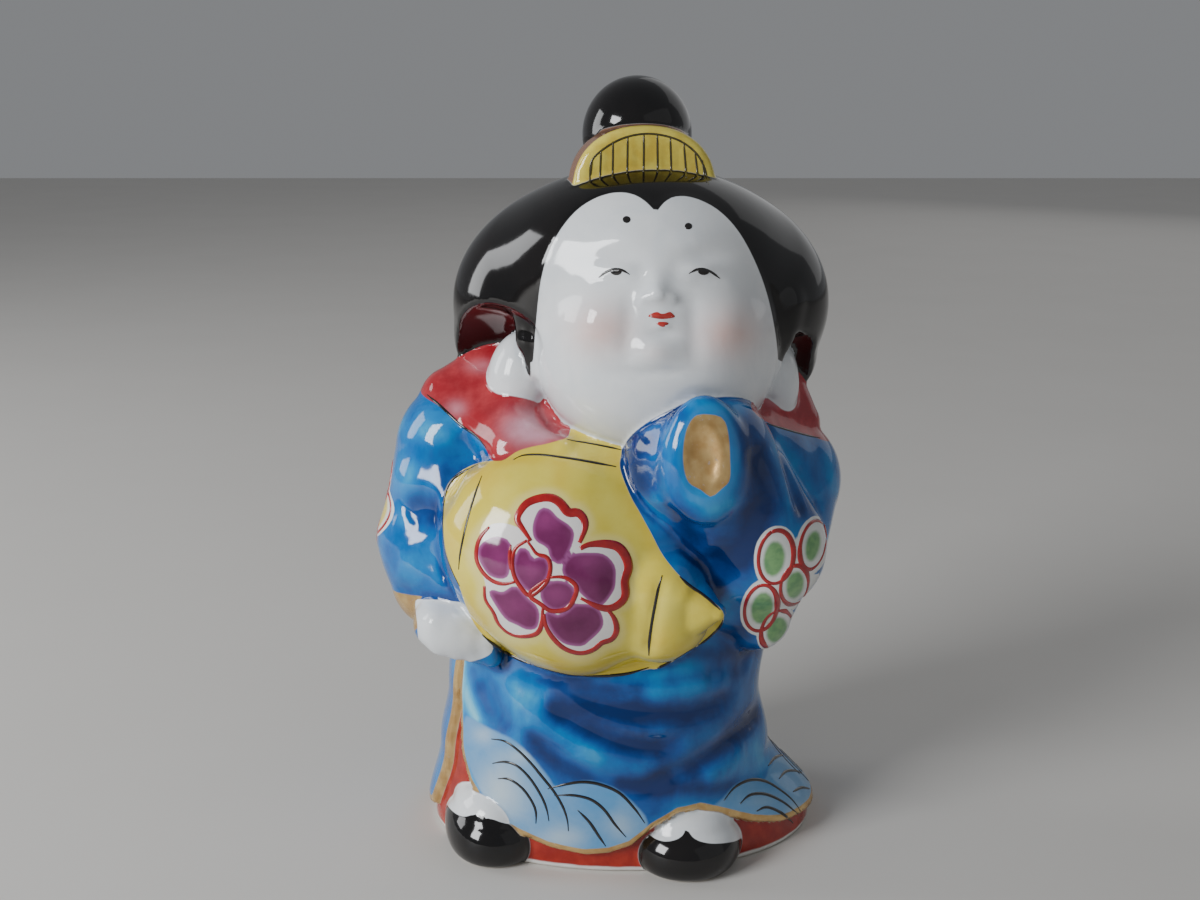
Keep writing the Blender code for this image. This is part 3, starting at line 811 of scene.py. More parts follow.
# pale wave patches over the hem
WAVE_LEFT = [(466, 716), (478, 722), (491, 729), (508, 737), (521, 746), (534, 759), (546, 774), (556, 788), (566, 784),
             (583, 781), (601, 783), (621, 792), (637, 807), (648, 822), (642, 840), (610, 864), (580, 866), (550, 856),
             (520, 838), (492, 810), (474, 778), (462, 740)]
WAVE_RIGHT = [(714, 808), (722, 799), (734, 786), (750, 779), (764, 780), (770, 767), (778, 757), (790, 757), (803, 767),
              (813, 780), (822, 797), (820, 818), (800, 840), (770, 838), (738, 822)]
arc = np.degrees(np.arctan2(P[:, 0], -P[:, 1]))
crest = 9.6 + 2.6 * np.abs(np.sin(np.radians(arc) * 4.5)) + 1.2 * np.sin(np.radians(arc) * 2.0)
hidden_wave = np.where(FRONTAL, -9.0, crest - P[:, 2])
store("wave", np.maximum(np.maximum(painted(WAVE_LEFT), painted(WAVE_RIGHT)), hidden_wave))
store("wave_white", spots([(500, 790, 26, 30, 0.8), (560, 838, 22, 12, 0.7), (600, 800, 12, 8, -0.4), (520, 755, 14, 8, 0.5),
                           (800, 815, 14, 14, 0.8), (762, 800, 16, 8, 0.3), (484, 735, 10, 10, 0.6), (620, 825, 12, 12, 0.5)]))

# cobalt: pools in the folds, darkened further as painted shade, and painted light on the ridges and lit patches between
# them
pool_shade_and_light = np.zeros(len(P), F)
for line, width, depth in FOLDS:
    lo, hi = line.min(0) - 4 * width, line.max(0) + 4 * width
    near = ((P >= lo) & (P <= hi)).all(1)
    if near.any():
        dist, along = line_distance(P[near], line)
        pool_shade_and_light[near] += np.sign(depth) * min(abs(depth), 1.0) * np.exp(-(dist / (1.35 * width)) ** 2) * \
            step01(along / 0.15) * step01((1 - along) / 0.15)
# painted shade where folds and sleeves lie in shade (plus weights), painted light where they catch the light (minus
# weights)
for points, width, weight in (
        ([(560, 700), (600, 710), (650, 716), (700, 712)], 13, 0.9),
        ([(548, 706), (580, 728), (620, 744), (655, 748)], 9, 0.7),
        ([(620, 783), (660, 788), (700, 788), (735, 786)], 8, 0.9),
        ([(752, 712), (728, 742), (694, 768)], 10, 0.5),
        ([(530, 735), (552, 760), (590, 782)], 8, 0.6),
        ([(640, 440), (634, 462), (646, 490)], 12, 0.9),
        ([(660, 420), (680, 410)], 9, 0.5),
        ([(745, 430), (760, 470), (762, 520), (745, 560)], 15, 0.9),
        ([(690, 520), (712, 545), (730, 560)], 14, 0.5),
        ([(672, 505), (690, 540), (720, 580)], 10, 0.4),
        ([(728, 640), (750, 620)], 12, 0.5),
        ([(800, 440), (815, 480), (812, 510)], 9, 0.5),
        ([(446, 470), (440, 520), (447, 570)], 7, 0.45),
        ([(414, 500), (430, 520)], 8, 0.4),
        ([(470, 672), (486, 710)], 7, 0.5),
        ([(690, 650), (730, 655), (755, 650)], 8, 0.7),
        ([(540, 680), (620, 688), (700, 676)], 6, 0.6),
        ([(400, 395), (396, 430)], 7, -0.6), ([(425, 430), (446, 440), (470, 452)], 12, -0.8),
        ([(410, 470), (402, 520)], 10, -0.5), ([(700, 720), (690, 700)], 9, -0.3),
        ([(500, 672), (520, 692), (545, 700)], 10, -0.5), ([(660, 520), (650, 500), (646, 520)], 10, -0.4),
        ([(740, 412), (716, 405), (690, 405)], 8, -0.5), ([(696, 500), (712, 512), (730, 505)], 9, -0.6),
        ([(776, 440), (786, 470), (790, 500)], 7, -0.5), ([(830, 455), (834, 490)], 6, -0.4),
        ([(640, 768), (680, 762), (720, 735)], 8, -0.35), ([(750, 745), (766, 765)], 8, -0.4),
        ([(462, 664), (467, 695), (476, 718)], 7, -1.2), ([(600, 758), (560, 730)], 5, -0.3)):
    pool_shade_and_light += weight * near_line(points, width)
store("pool_shade_and_light", pool_shade_and_light)
LIP = [(709 + 31 * math.cos(t), 456 + 52 * math.sin(t)) for t in np.linspace(0, 2 * math.pi, 24, endpoint=False)]
store("lip", painted(LIP))

# blush on the cheeks and chin, and ochre patches on the sash
store("blush", spots([(600, 330, 30, 24, 1.0), (728, 334, 30, 24, 1.0), (655, 352, 14, 8, 0.25)]))
store("ochre", spots([(482, 478, 18, 14, 0.9), (456, 530, 12, 30, 0.6), (520, 462, 40, 5, 0.6), (600, 462, 26, 8, 0.5),
                      (640, 500, 10, 20, 0.4), (560, 476, 10, 26, 0.5), (660, 640, 18, 18, 0.5), (700, 590, 12, 10, 0.6),
                      (480, 620, 14, 14, 0.5), (560, 664, 50, 7, 0.5), (650, 590, 8, 24, 0.4)]))

# the big flower on the sash: outlines and fills of its seven petals, in pixels
PETALS = [
    ([(530.8, 540.7), (522.9, 529), (517, 520), (519, 513), (527, 503), (540.7, 498), (552.6, 498), (561.5, 504),
      (568.4, 513), (577.3, 512), (584.2, 519), (585.2, 527), (582.2, 536.8), (579.3, 542.7)],
     [(540.7, 511), (548.6, 511), (556.5, 519), (568.4, 527), (572.3, 535), (568.4, 548.6), (560.5, 561.5), (552.6, 558.5),
      (548.6, 546.6), (536.8, 538.7), (534.8, 525)], (3.2, 5.2, 6.2, 4.2)),
    ([(580.3, 548.6), (588.2, 544.7), (604, 543.7), (617.8, 546.6), (625.7, 556.5), (628.7, 568.4), (624.7, 580.3),
      (625.7, 594), (621.8, 602), (611.9, 608), (602, 608), (592, 604), (580.3, 598)],
     [(564.4, 566.4), (572.3, 556.5), (588.2, 554.6), (604, 556.5), (612.9, 566.4), (613.9, 578), (611.9, 590), (602, 603),
      (594, 602), (582, 592), (576.3, 582), (566.4, 576.3)], (4.0, 6.6, 6.0, 3.0)),
    ([(543.7, 614), (545.7, 625.7), (552.6, 637.6), (564.4, 648.5), (580.3, 653.4), (594, 649.5), (602, 642.5),
      (611.9, 639.6), (616.8, 629.7), (613.9, 617.8), (606, 608)],
     [(546.6, 614), (558.5, 616.8), (568.4, 612), (576.3, 606), (594, 608), (601, 617.8), (600, 627.7), (588, 639.6),
      (580.3, 644.5), (564.4, 641.5), (552.6, 629.7)], (3.0, 4.0, 4.6, 3.4)),
    ([(484.4, 586), (485.4, 600), (493.3, 612), (498.2, 623.8), (509, 633.6), (522.9, 636.6), (536.8, 633.6),
      (541.7, 623.8), (542.7, 608)],
     [(491.3, 592), (503, 594), (515, 588), (525, 598), (536.8, 610), (535.8, 625.7), (527, 627.7), (517, 622.8),
      (507, 617.8), (497, 604)], (3.0, 3.4, 3.6, 3.0)),
    ([(489.3, 527), (479.4, 538.7), (475.9, 556.5), (481.4, 570.4), (491.3, 580.3), (503, 584), (515, 582)],
     [(489.3, 540.7), (499, 538.7), (509, 544.7), (508, 564.4), (505, 576), (491.3, 574.3), (481.4, 560.5),
      (480.4, 548.6)], (2.6, 3.2, 3.0, 2.6)),
    ([(527, 540.7), (515, 548.6), (512, 564.4), (515, 578.3), (523, 590), (530.8, 596), (546.6, 582), (550.6, 566.4),
      (546.6, 556.5), (536.8, 554.6), (532.8, 548.6), (527, 540.7)],
     [(520, 550.6), (527, 551.6), (531.8, 560.5), (542.7, 558.5), (547.6, 566.4), (544.7, 578.3), (532.8, 590), (523, 584),
      (515, 568.4)], (2.6, 3.0, 2.8, 2.6)),
    ([(550.6, 577.3), (564.4, 577.3), (576.3, 586), (574.3, 598), (566.4, 609), (550.6, 611), (540.7, 604), (529, 595),
      (540, 584), (550.6, 577.3)],
     [(542.7, 590), (552.6, 583), (566.4, 584), (573.3, 592), (570.4, 602), (556.5, 609), (544.7, 602)],
     (2.6, 3.2, 3.0, 2.6)),
]
BLOSSOM = [(489, 526), (478, 540), (475, 557), (482, 573), (486, 588), (485, 601), (494, 613), (499, 625), (510, 635),
           (524, 637), (538, 634), (546, 628), (553, 639), (565, 649), (581, 654), (595, 650), (603, 643), (612, 640),
           (617, 630), (613, 616), (608, 608), (616, 606), (624, 600), (626, 592), (625, 580), (629, 568), (626, 556),
           (618, 546), (604, 543), (588, 544), (580, 546), (583, 536), (586, 526), (584, 518), (577, 511), (569, 513),
           (562, 503), (553, 497.5), (540, 497.5), (527, 502), (518, 512), (517, 521), (521, 528), (508, 524), (498, 523)]
purple = np.full(len(P), -9.0, F)
for _, fill, _ in PETALS:
    purple = np.maximum(purple, painted(fill))
store("purple", purple)
store("blossom", painted(BLOSSOM, 180))
store("petal_tone", spots([(545, 520, 14, 10, 0.8), (590, 560, 18, 8, 0.5), (570, 625, 20, 10, -0.3), (500, 560, 10, 14, 0.4),
                           (530, 570, 10, 10, 0.6), (556, 595, 12, 8, 0.5), (515, 605, 16, 8, 0.3), (605, 585, 8, 14, -0.4)]))


class Place:
    """A flat frame laid on the surface, for flowers that turn out of sight."""

    def __init__(self, point, out, up=(0, 0, 1)):
        self.o, self.n = np.asarray(point, float), np.asarray(out, float)
        self.n /= np.linalg.norm(self.n)
        self.e1 = np.cross(up, self.n)
        self.e1 /= np.linalg.norm(self.e1)
        self.e2 = np.cross(self.n, self.e1)

    def plane(self, pts):
        w = pts - self.o
        return np.stack([w @ self.e1, w @ self.e2], 1).astype(F)

    def covers(self, pts, normals):
        return (np.abs((pts - self.o) @ self.n) < 9.0) & (normals @ self.n > 0.15)

    def hit(self, a, b):
        start = self.o + self.e1 * a + self.e2 * b + self.n * 12.0
        p, _, _, _ = BODY.ray_cast(Vector(start), Vector(-self.n), 22.0)
        return None if p is None else np.array(p)


def seen(u, v):
    p, _, _, _ = BODY.ray_cast(Vector(EYE), Vector(ray(u, v)))
    return None if p is None else np.array(p)


def ring(centre, radius, lobes=0, depth=0.0, n=26, wide=1.0, turn=0.0):
    t = np.linspace(0, 2 * math.pi, n, endpoint=False)
    r = radius * (1 + depth * np.cos(lobes * t + turn))
    return np.stack([centre[0] + r * np.cos(t) * wide, centre[1] + r * np.sin(t)], 1)


# round-petalled flowers: in the picture on the right sleeve, and in flat frames on the side and back
def oval(u, v, a, b, turn=0.0, n=28):
    t = np.linspace(0, 2 * math.pi, n, endpoint=False)
    c, d = math.cos(math.radians(turn)), math.sin(math.radians(turn))
    x, y = a * np.cos(t), b * np.sin(t)
    return np.stack([u + x * c - y * d, v + x * d + y * c], 1)


SLEEVE_FLOWER = [(776, 557, 17.5, 27, 8), (813, 545, 12.5, 25, 12), (794.5, 585, 13.5, 20, 14), (761, 608, 16, 23.5, 14),
                 (777, 630, 15, 20.5, 24), (812, 598, 9.5, 20, 14)]
SLEEVE_KERNELS = [(774, 559, 11.5, 18.5, 8), (813, 546, 8, 16, 12), (795, 585, 9.5, 14.5, 14), (762, 608, 11.5, 17, 14),
                  (777, 630, 10.5, 14, 24)]
_s = seen(388, 519)
PLACES = [
    (Place((-37.5, 0.8, _s[2]), (-0.97, 0.24, 0.0)), 4.6, 3.3, 0.0, "yellow"),
    (Place((31.0, 6.5, 55.0), (0.78, 0.62, 0.0)), 5.2, 3.2, 40.0, "green"),
    (Place((-1.0, 19.0, 26.0), (0.0, 1.0, 0.0)), 5.8, 3.5, 90.0, "green"),
    (Place((-17.0, 14.0, 56.0), (-0.6, 0.8, 0.0)), 5.0, 3.0, 90.0, "yellow"),
]
FLOWERS = []
for place, reach, radius, first, tint in PLACES[:3]:
    spots_ = [((0.0, 0.0), radius * 0.76)]
    spots_ += [((reach * math.cos(t), reach * math.sin(t)), radius) for t in np.radians(first + 72.0 * np.arange(5))]
    FLOWERS.append((place, spots_, tint))
on_front = (P[:, 1] < -7.0) & FRONTAL
_c = seen(784, 590)
cluster = (1.0 - np.sqrt((((P - _c.astype(F)) / np.array([10.5, 12.0, 16.0], F)) ** 2).sum(1))) * 10.0     # keeps it on the sleeve
look = P - EYE.astype(F)
turned_to = -(look * normal).sum(1) / np.linalg.norm(look, axis=1)      # 1 faces the eye, 0 is the outline
bloom = np.full(len(P), -9.0, F)
kernel = np.full(len(P), -9.0, F)
kernel_yellow = np.full(len(P), -9.0, F)
for o in SLEEVE_FLOWER:
    bloom = np.maximum(bloom, np.where(on_front, np.minimum(np.minimum(outline_distance(U2, oval(*o)) * TO_MM, turned_to * 6.0 - 1.3), cluster), -9.0))
for o in SLEEVE_KERNELS:
    kernel = np.maximum(kernel, np.where(on_front, np.minimum(np.minimum(outline_distance(U2, oval(*o)) * TO_MM, turned_to * 6.0 - 1.5), cluster - 0.6), -9.0))
for place, petals, tint in FLOWERS:
    ok = place.covers(P, normal)
    W = place.plane(P)
    for (a, b), r in petals:
        d = r - np.sqrt((W[:, 0] - a) ** 2 + (W[:, 1] - b) ** 2)
        bloom = np.where(ok, np.maximum(bloom, d), bloom)
        if tint == "green":
            kernel = np.where(ok, np.maximum(kernel, d - r * 0.34), kernel)
        else:
            kernel_yellow = np.where(ok, np.maximum(kernel_yellow, d - r * 0.26), kernel_yellow)
store("bloom", bloom)
store("kernel", kernel)
store("kernel_yellow", kernel_yellow)


# ---- glaze and enamel, built from node expressions -----------------------------------------

def rgb(r, g, b):
    def lin(c):
        c /= 255.0
        return c / 12.92 if c <= 0.04045 else ((c + 0.055) / 1.055) ** 2.4
    return (lin(r), lin(g), lin(b), 1.0)


class Paint:
    """Small helper that writes shader nodes as expressions."""

    def __init__(self, name):
        self.material = bpy.data.materials.new(name)
        self.material.use_nodes = True
        self.tree = self.material.node_tree
        self.shader = self.tree.nodes["Principled BSDF"]
        self.coords = self.tree.nodes.new("ShaderNodeTexCoord").outputs["Object"]

    def put(self, socket, value):
        if isinstance(value, bpy.types.NodeSocket):
            self.tree.links.new(value, socket)
        else:
            socket.default_value = value

    def math(self, op, *args, clamp=False):
        n = self.tree.nodes.new("ShaderNodeMath")
        n.operation, n.use_clamp = op, clamp
        for i, a in enumerate(args):
            self.put(n.inputs[i], a)
        return n.outputs[0]

    def mul(self, a, b):
        return self.math("MULTIPLY", a, b)

    def add(self, a, b):
        return self.math("ADD", a, b)

    def attr(self, name):
        n = self.tree.nodes.new("ShaderNodeAttribute")
        n.attribute_name = name
        return n.outputs["Fac"]

    def step(self, value, low, high):
        n = self.tree.nodes.new("ShaderNodeMapRange")
        n.interpolation_type = "SMOOTHSTEP"
        self.put(n.inputs["Value"], value)
        n.inputs["From Min"].default_value, n.inputs["From Max"].default_value = low, high
        return n.outputs["Result"]

    def noise(self, size_mm, detail=3.0, rough=0.5, distort=0.0, stretch=None):
        n = self.tree.nodes.new("ShaderNodeTexNoise")
        vec = self.coords
        if stretch:
            m = self.tree.nodes.new("ShaderNodeMapping")
            m.inputs["Scale"].default_value = stretch
            self.put(m.inputs["Vector"], vec)
            vec = m.outputs["Vector"]
        self.put(n.inputs["Vector"], vec)
        n.inputs["Scale"].default_value = 1000.0 / size_mm
        n.inputs["Detail"].default_value = detail
        n.inputs["Roughness"].default_value = rough
        n.inputs["Distortion"].default_value = distort
        return n.outputs["Fac"]

    def mix(self, f, a, b):
        n = self.tree.nodes.new("ShaderNodeMix")
        n.data_type = "RGBA"
        self.put(n.inputs[0], f)
        self.put(n.inputs[6], a)
        self.put(n.inputs[7], b)
        return n.outputs[2]

    def blend(self, f, a, b):
        n = self.tree.nodes.new("ShaderNodeMix")
        self.put(n.inputs[0], f)
        self.put(n.inputs[2], a)
        self.put(n.inputs[3], b)
        return n.outputs[0]

    def ramp(self, f, stops):
        n = self.tree.nodes.new("ShaderNodeValToRGB")
        e = n.color_ramp.elements
        while len(e) < len(stops):
            e.new(0.5)
        for el, (at, colour) in zip(e, stops):
            el.position, el.color = at, colour
        self.put(n.inputs["Fac"], f)
        return n.outputs["Color"]

    def finish(self, colour, rough=0.1, metal=0.0, coat=0.6, bump=None, height=0.00002):
        s = self.shader
        self.put(s.inputs["Base Color"], colour)
        self.put(s.inputs["Roughness"], rough)
        self.put(s.inputs["Metallic"], metal)
        self.put(s.inputs["Coat Weight"], coat)
        s.inputs["Coat Roughness"].default_value = 0.03
        s.inputs["Coat IOR"].default_value = 1.5
        if bump is not None:
            b = self.tree.nodes.new("ShaderNodeBump")
            b.inputs["Strength"].default_value = 0.6
            b.inputs["Distance"].default_value = height
            self.put(b.inputs["Height"], bump)
            self.tree.links.new(b.outputs["Normal"], s.inputs["Normal"])
        return self.material


g = Paint("glazed_porcelain")
SOFT = 0.07
wander = g.add(g.mul(g.noise(3.0, 2.0), 0.5), -0.25)          # uneven brush edges
fine = g.noise(1.1, 2.0)
cloud = g.noise(9.0, 4.0, 0.62, 0.6)
streak = g.noise(4.0, 3.0, 0.6, 0.4, (1.0, 1.0, 0.55))
hollow, ridge = g.attr("hollow"), g.attr("ridge")

# bare glaze over white body
white = g.mix(g.step(cloud, 0.35, 0.7), rgb(226, 229, 231), rgb(216, 221, 225))
# greyer in hollows: glaze pooled thicker there, and painted shade
white = g.mix(g.mul(g.step(hollow, 0.15, 0.6), 0.35), white, rgb(184, 196, 204))
blush = g.mul(g.math("MULTIPLY", g.attr("blush"), g.add(g.mul(g.noise(1.6, 3.0), 0.5), 0.70), clamp=True), 0.46)
white = g.mix(blush, white, rgb(228, 150, 124))

# cobalt robe: darker in folds and hollows where the cobalt pools, with painted shade there, and lighter on ridges as
# painted highlight
tone = g.add(g.mul(g.attr("pool_shade_and_light"), 0.36), g.add(g.mul(cloud, 0.62), g.mul(streak, 0.34)))
# painted shade in hollows, painted highlight on ridges
tone = g.add(tone, g.mul(g.step(hollow, 0.02, 0.5), 0.30))
tone = g.add(tone, g.mul(g.step(ridge, 0.10, 0.6), -0.22))
tone = g.add(tone, 0.03)
blue = g.ramp(tone, [(0.0, rgb(118, 196, 222)), (0.18, rgb(56, 160, 208)), (0.36, rgb(14, 126, 192)),
                     (0.52, rgb(0, 100, 172)), (0.68, rgb(0, 74, 146)), (0.84, rgb(0, 52, 118)), (1.0, rgb(0, 36, 92))])
# painted highlight: a lighter blue ring over the raised rim round the sleeve's mouth
lip = g.attr("lip")
rim = g.mul(g.step(lip, -0.5, 0.5), g.add(1.0, g.mul(g.step(lip, 0.6, 2.2), -0.25)))
blue = g.mix(g.mul(rim, 0.50), blue, rgb(60, 140, 200))
colour = g.mix(g.step(g.attr("m_cloth"), -SOFT, SOFT), white, blue)

# pale waves
wave_tone = g.add(g.attr("wave_white"), g.add(g.mul(cloud, 0.7), -0.25))
pale = g.mix(g.math("MULTIPLY", wave_tone, 1.0, clamp=True), rgb(84, 146, 196), rgb(178, 197, 211))
wave = g.mul(g.step(g.add(g.attr("wave"), g.mul(wander, 0.8)), -0.30, 0.30), g.step(g.attr("m_cloth"), -SOFT, SOFT))
colour = g.mix(wave, colour, pale)

# round-petalled flowers
bloom = g.mul(g.step(g.add(g.attr("bloom"), g.mul(wander, 0.5)), -0.75, -0.60), g.step(g.attr("m_cloth"), -SOFT, SOFT))
colour = g.mix(bloom, colour, rgb(226, 228, 226))
green = g.mix(g.step(fine, 0.3, 0.7), rgb(118, 172, 104), rgb(92, 150, 92))
colour = g.mix(g.mul(g.step(g.add(g.attr("kernel"), g.mul(wander, 0.6)), -0.25, 0.45), 0.95), colour, green)
colour = g.mix(g.mul(g.step(g.attr("kernel_yellow"), -0.4, 0.5), 0.95), colour, rgb(222, 200, 80))

# red collar
red = g.mix(g.step(g.noise(4.0, 4.0, 0.6), 0.35, 0.75), rgb(154, 31, 41), rgb(184, 61, 66))
# pale pink where the red is thin, and as painted highlight
red = g.mix(g.math("MULTIPLY", g.attr("red_thin_and_highlight"), g.add(g.mul(g.noise(2.5, 3.0), 0.7), 0.5), clamp=True), red,
            rgb(218, 166, 182))
colour = g.mix(g.step(g.attr("red"), -SOFT, SOFT), colour, red)

# red underskirt, with the bare foot line under it
under_red = g.mix(g.step(g.noise(3.0, 4.0, 0.6), 0.35, 0.75), rgb(142, 24, 15), rgb(170, 46, 30))
under_red = g.mix(g.step(g.add(g.attr("high"), g.mul(wander, 0.7)), 1.15, 0.75), under_red, rgb(222, 222, 218))
colour = g.mix(g.step(g.attr("m_under"), -SOFT, SOFT), colour, under_red)

# yellow sash, paler round the blossom
yellow = g.mix(g.step(g.noise(8.0, 4.0, 0.6), 0.3, 0.75), rgb(226, 211, 90), rgb(216, 197, 64))
edge_tone = g.mul(g.step(g.attr("m_sash"), 2.6, 0.0), 0.45)
och = g.math("MULTIPLY", g.add(g.attr("ochre"), edge_tone), g.add(g.mul(g.noise(5.0, 4.0, 0.6), 1.2), -0.05), clamp=True)
yellow = g.mix(och, yellow, rgb(208, 170, 30))
blossom = g.attr("blossom")
yellow = g.mix(g.mul(g.step(blossom, -2.0, -0.5), 0.50), yellow, rgb(232, 222, 156))
yellow = g.mix(g.step(blossom, -0.1, 0.1), yellow, rgb(232, 228, 226))
purple = g.mix(g.math("MULTIPLY", g.add(g.attr("petal_tone"), g.mul(g.noise(2.2, 3.0, 0.6), 0.6)), 0.7, clamp=True),
               rgb(98, 22, 74), rgb(156, 66, 128))
purple_in = g.attr("purple")
purple = g.mix(g.step(purple_in, 0.35, -0.25), purple, rgb(156, 84, 140))
yellow = g.mix(g.step(g.add(purple_in, g.mul(wander, 0.25)), -0.36, -0.20), yellow, purple)
colour = g.mix(g.step(g.attr("m_sash"), -SOFT, SOFT), colour, yellow)

# comb, hair, sandals
comb_yellow = g.mix(g.step(g.noise(3.0, 3.0), 0.35, 0.7), rgb(214, 198, 84), rgb(196, 170, 60))
comb_back = g.step(g.attr("comb_back"), 0.9, 1.3)
comb_colour = g.mix(comb_back, comb_yellow, rgb(156, 110, 84))
comb_mask = g.step(g.attr("m_comb"), -SOFT, SOFT)
colour = g.mix(comb_mask, colour, comb_colour)
black = g.mix(g.step(cloud, 0.3, 0.8), rgb(10, 9, 10), rgb(20, 17, 17))
dark = g.math("MAXIMUM", g.step(g.attr("m_hair"), -SOFT, SOFT), g.step(g.attr("m_sandal"), -SOFT, SOFT))
colour = g.mix(dark, colour, black)

# worn gilding: hem, sleeve mouth, cuff
hem = g.attr("hem")
hem_band = g.mul(g.step(g.add(hem, g.mul(wander, 0.5)), 1.25, 1.10), g.step(hem, -0.75, -0.55))
hem_band = g.mul(hem_band, g.math("MAXIMUM", g.step(g.attr("m_cloth"), -SOFT, SOFT), 0.0))
gold = g.math("MAXIMUM", hem_band, g.mul(g.step(g.add(g.attr("gold"), g.mul(wander, 0.3)), -0.05, 0.10),
                                         g.step(g.attr("m_cloth"), -SOFT, SOFT)))
gold = g.mul(gold, g.add(1.0, g.mul(g.step(g.noise(0.9, 3.0, 0.7), 0.62, 0.72), -0.35)))
gilt = g.mix(g.step(g.noise(2.0, 3.0), 0.3, 0.7), rgb(218, 184, 124), rgb(194, 154, 96))
colour = g.mix(gold, colour, gilt)

# unglazed foot
foot = g.step(g.attr("high"), 0.45, 0.1)
colour = g.mix(foot, colour, g.mix(g.step(g.noise(0.8, 4.0), 0.35, 0.7), rgb(214, 206, 192), rgb(196, 186, 170)))

rough = g.add(0.07, g.mul(g.noise(6.0, 3.0), 0.05))
rough = g.blend(gold, rough, 0.24)
rough = g.blend(foot, rough, 0.65)
metal = g.math("MAXIMUM", g.mul(gold, 0.65), g.mul(g.mul(comb_mask, comb_back), 0.5))
coat = g.blend(foot, 0.20, 0.0)
bump = g.add(g.mul(g.noise(5.0, 2.0), 1.0), g.mul(g.noise(0.8, 3.0), g.blend(foot, 0.03, 0.8)))
figure.data.materials.append(g.finish(colour, rough, metal, coat, bump, 0.00006))
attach(figure, "root")
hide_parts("figure")


def enamel(name, a, b, rough=0.16, metal=0.0, coat=0.5):
    p = Paint(name)
    n = p.noise(1.4, 3.0, 0.6)
    c = p.mix(p.step(n, 0.3, 0.7), rgb(*a), rgb(*b))
    return p.finish(c, p.add(rough, p.mul(n, 0.06)), metal, coat)


# ---- raised enamel laid on the skin --------------------------------------------------------

def smooth_normal(p):
    q = np.asarray(p, F)[None]
    n = gradient(figure_field, q, 0.25)[0]
    return n / max(np.linalg.norm(n), 1e-6)


def nearest(p):
    q, _, _, _ = BODY.find_nearest(Vector(p))
    return np.array(q)


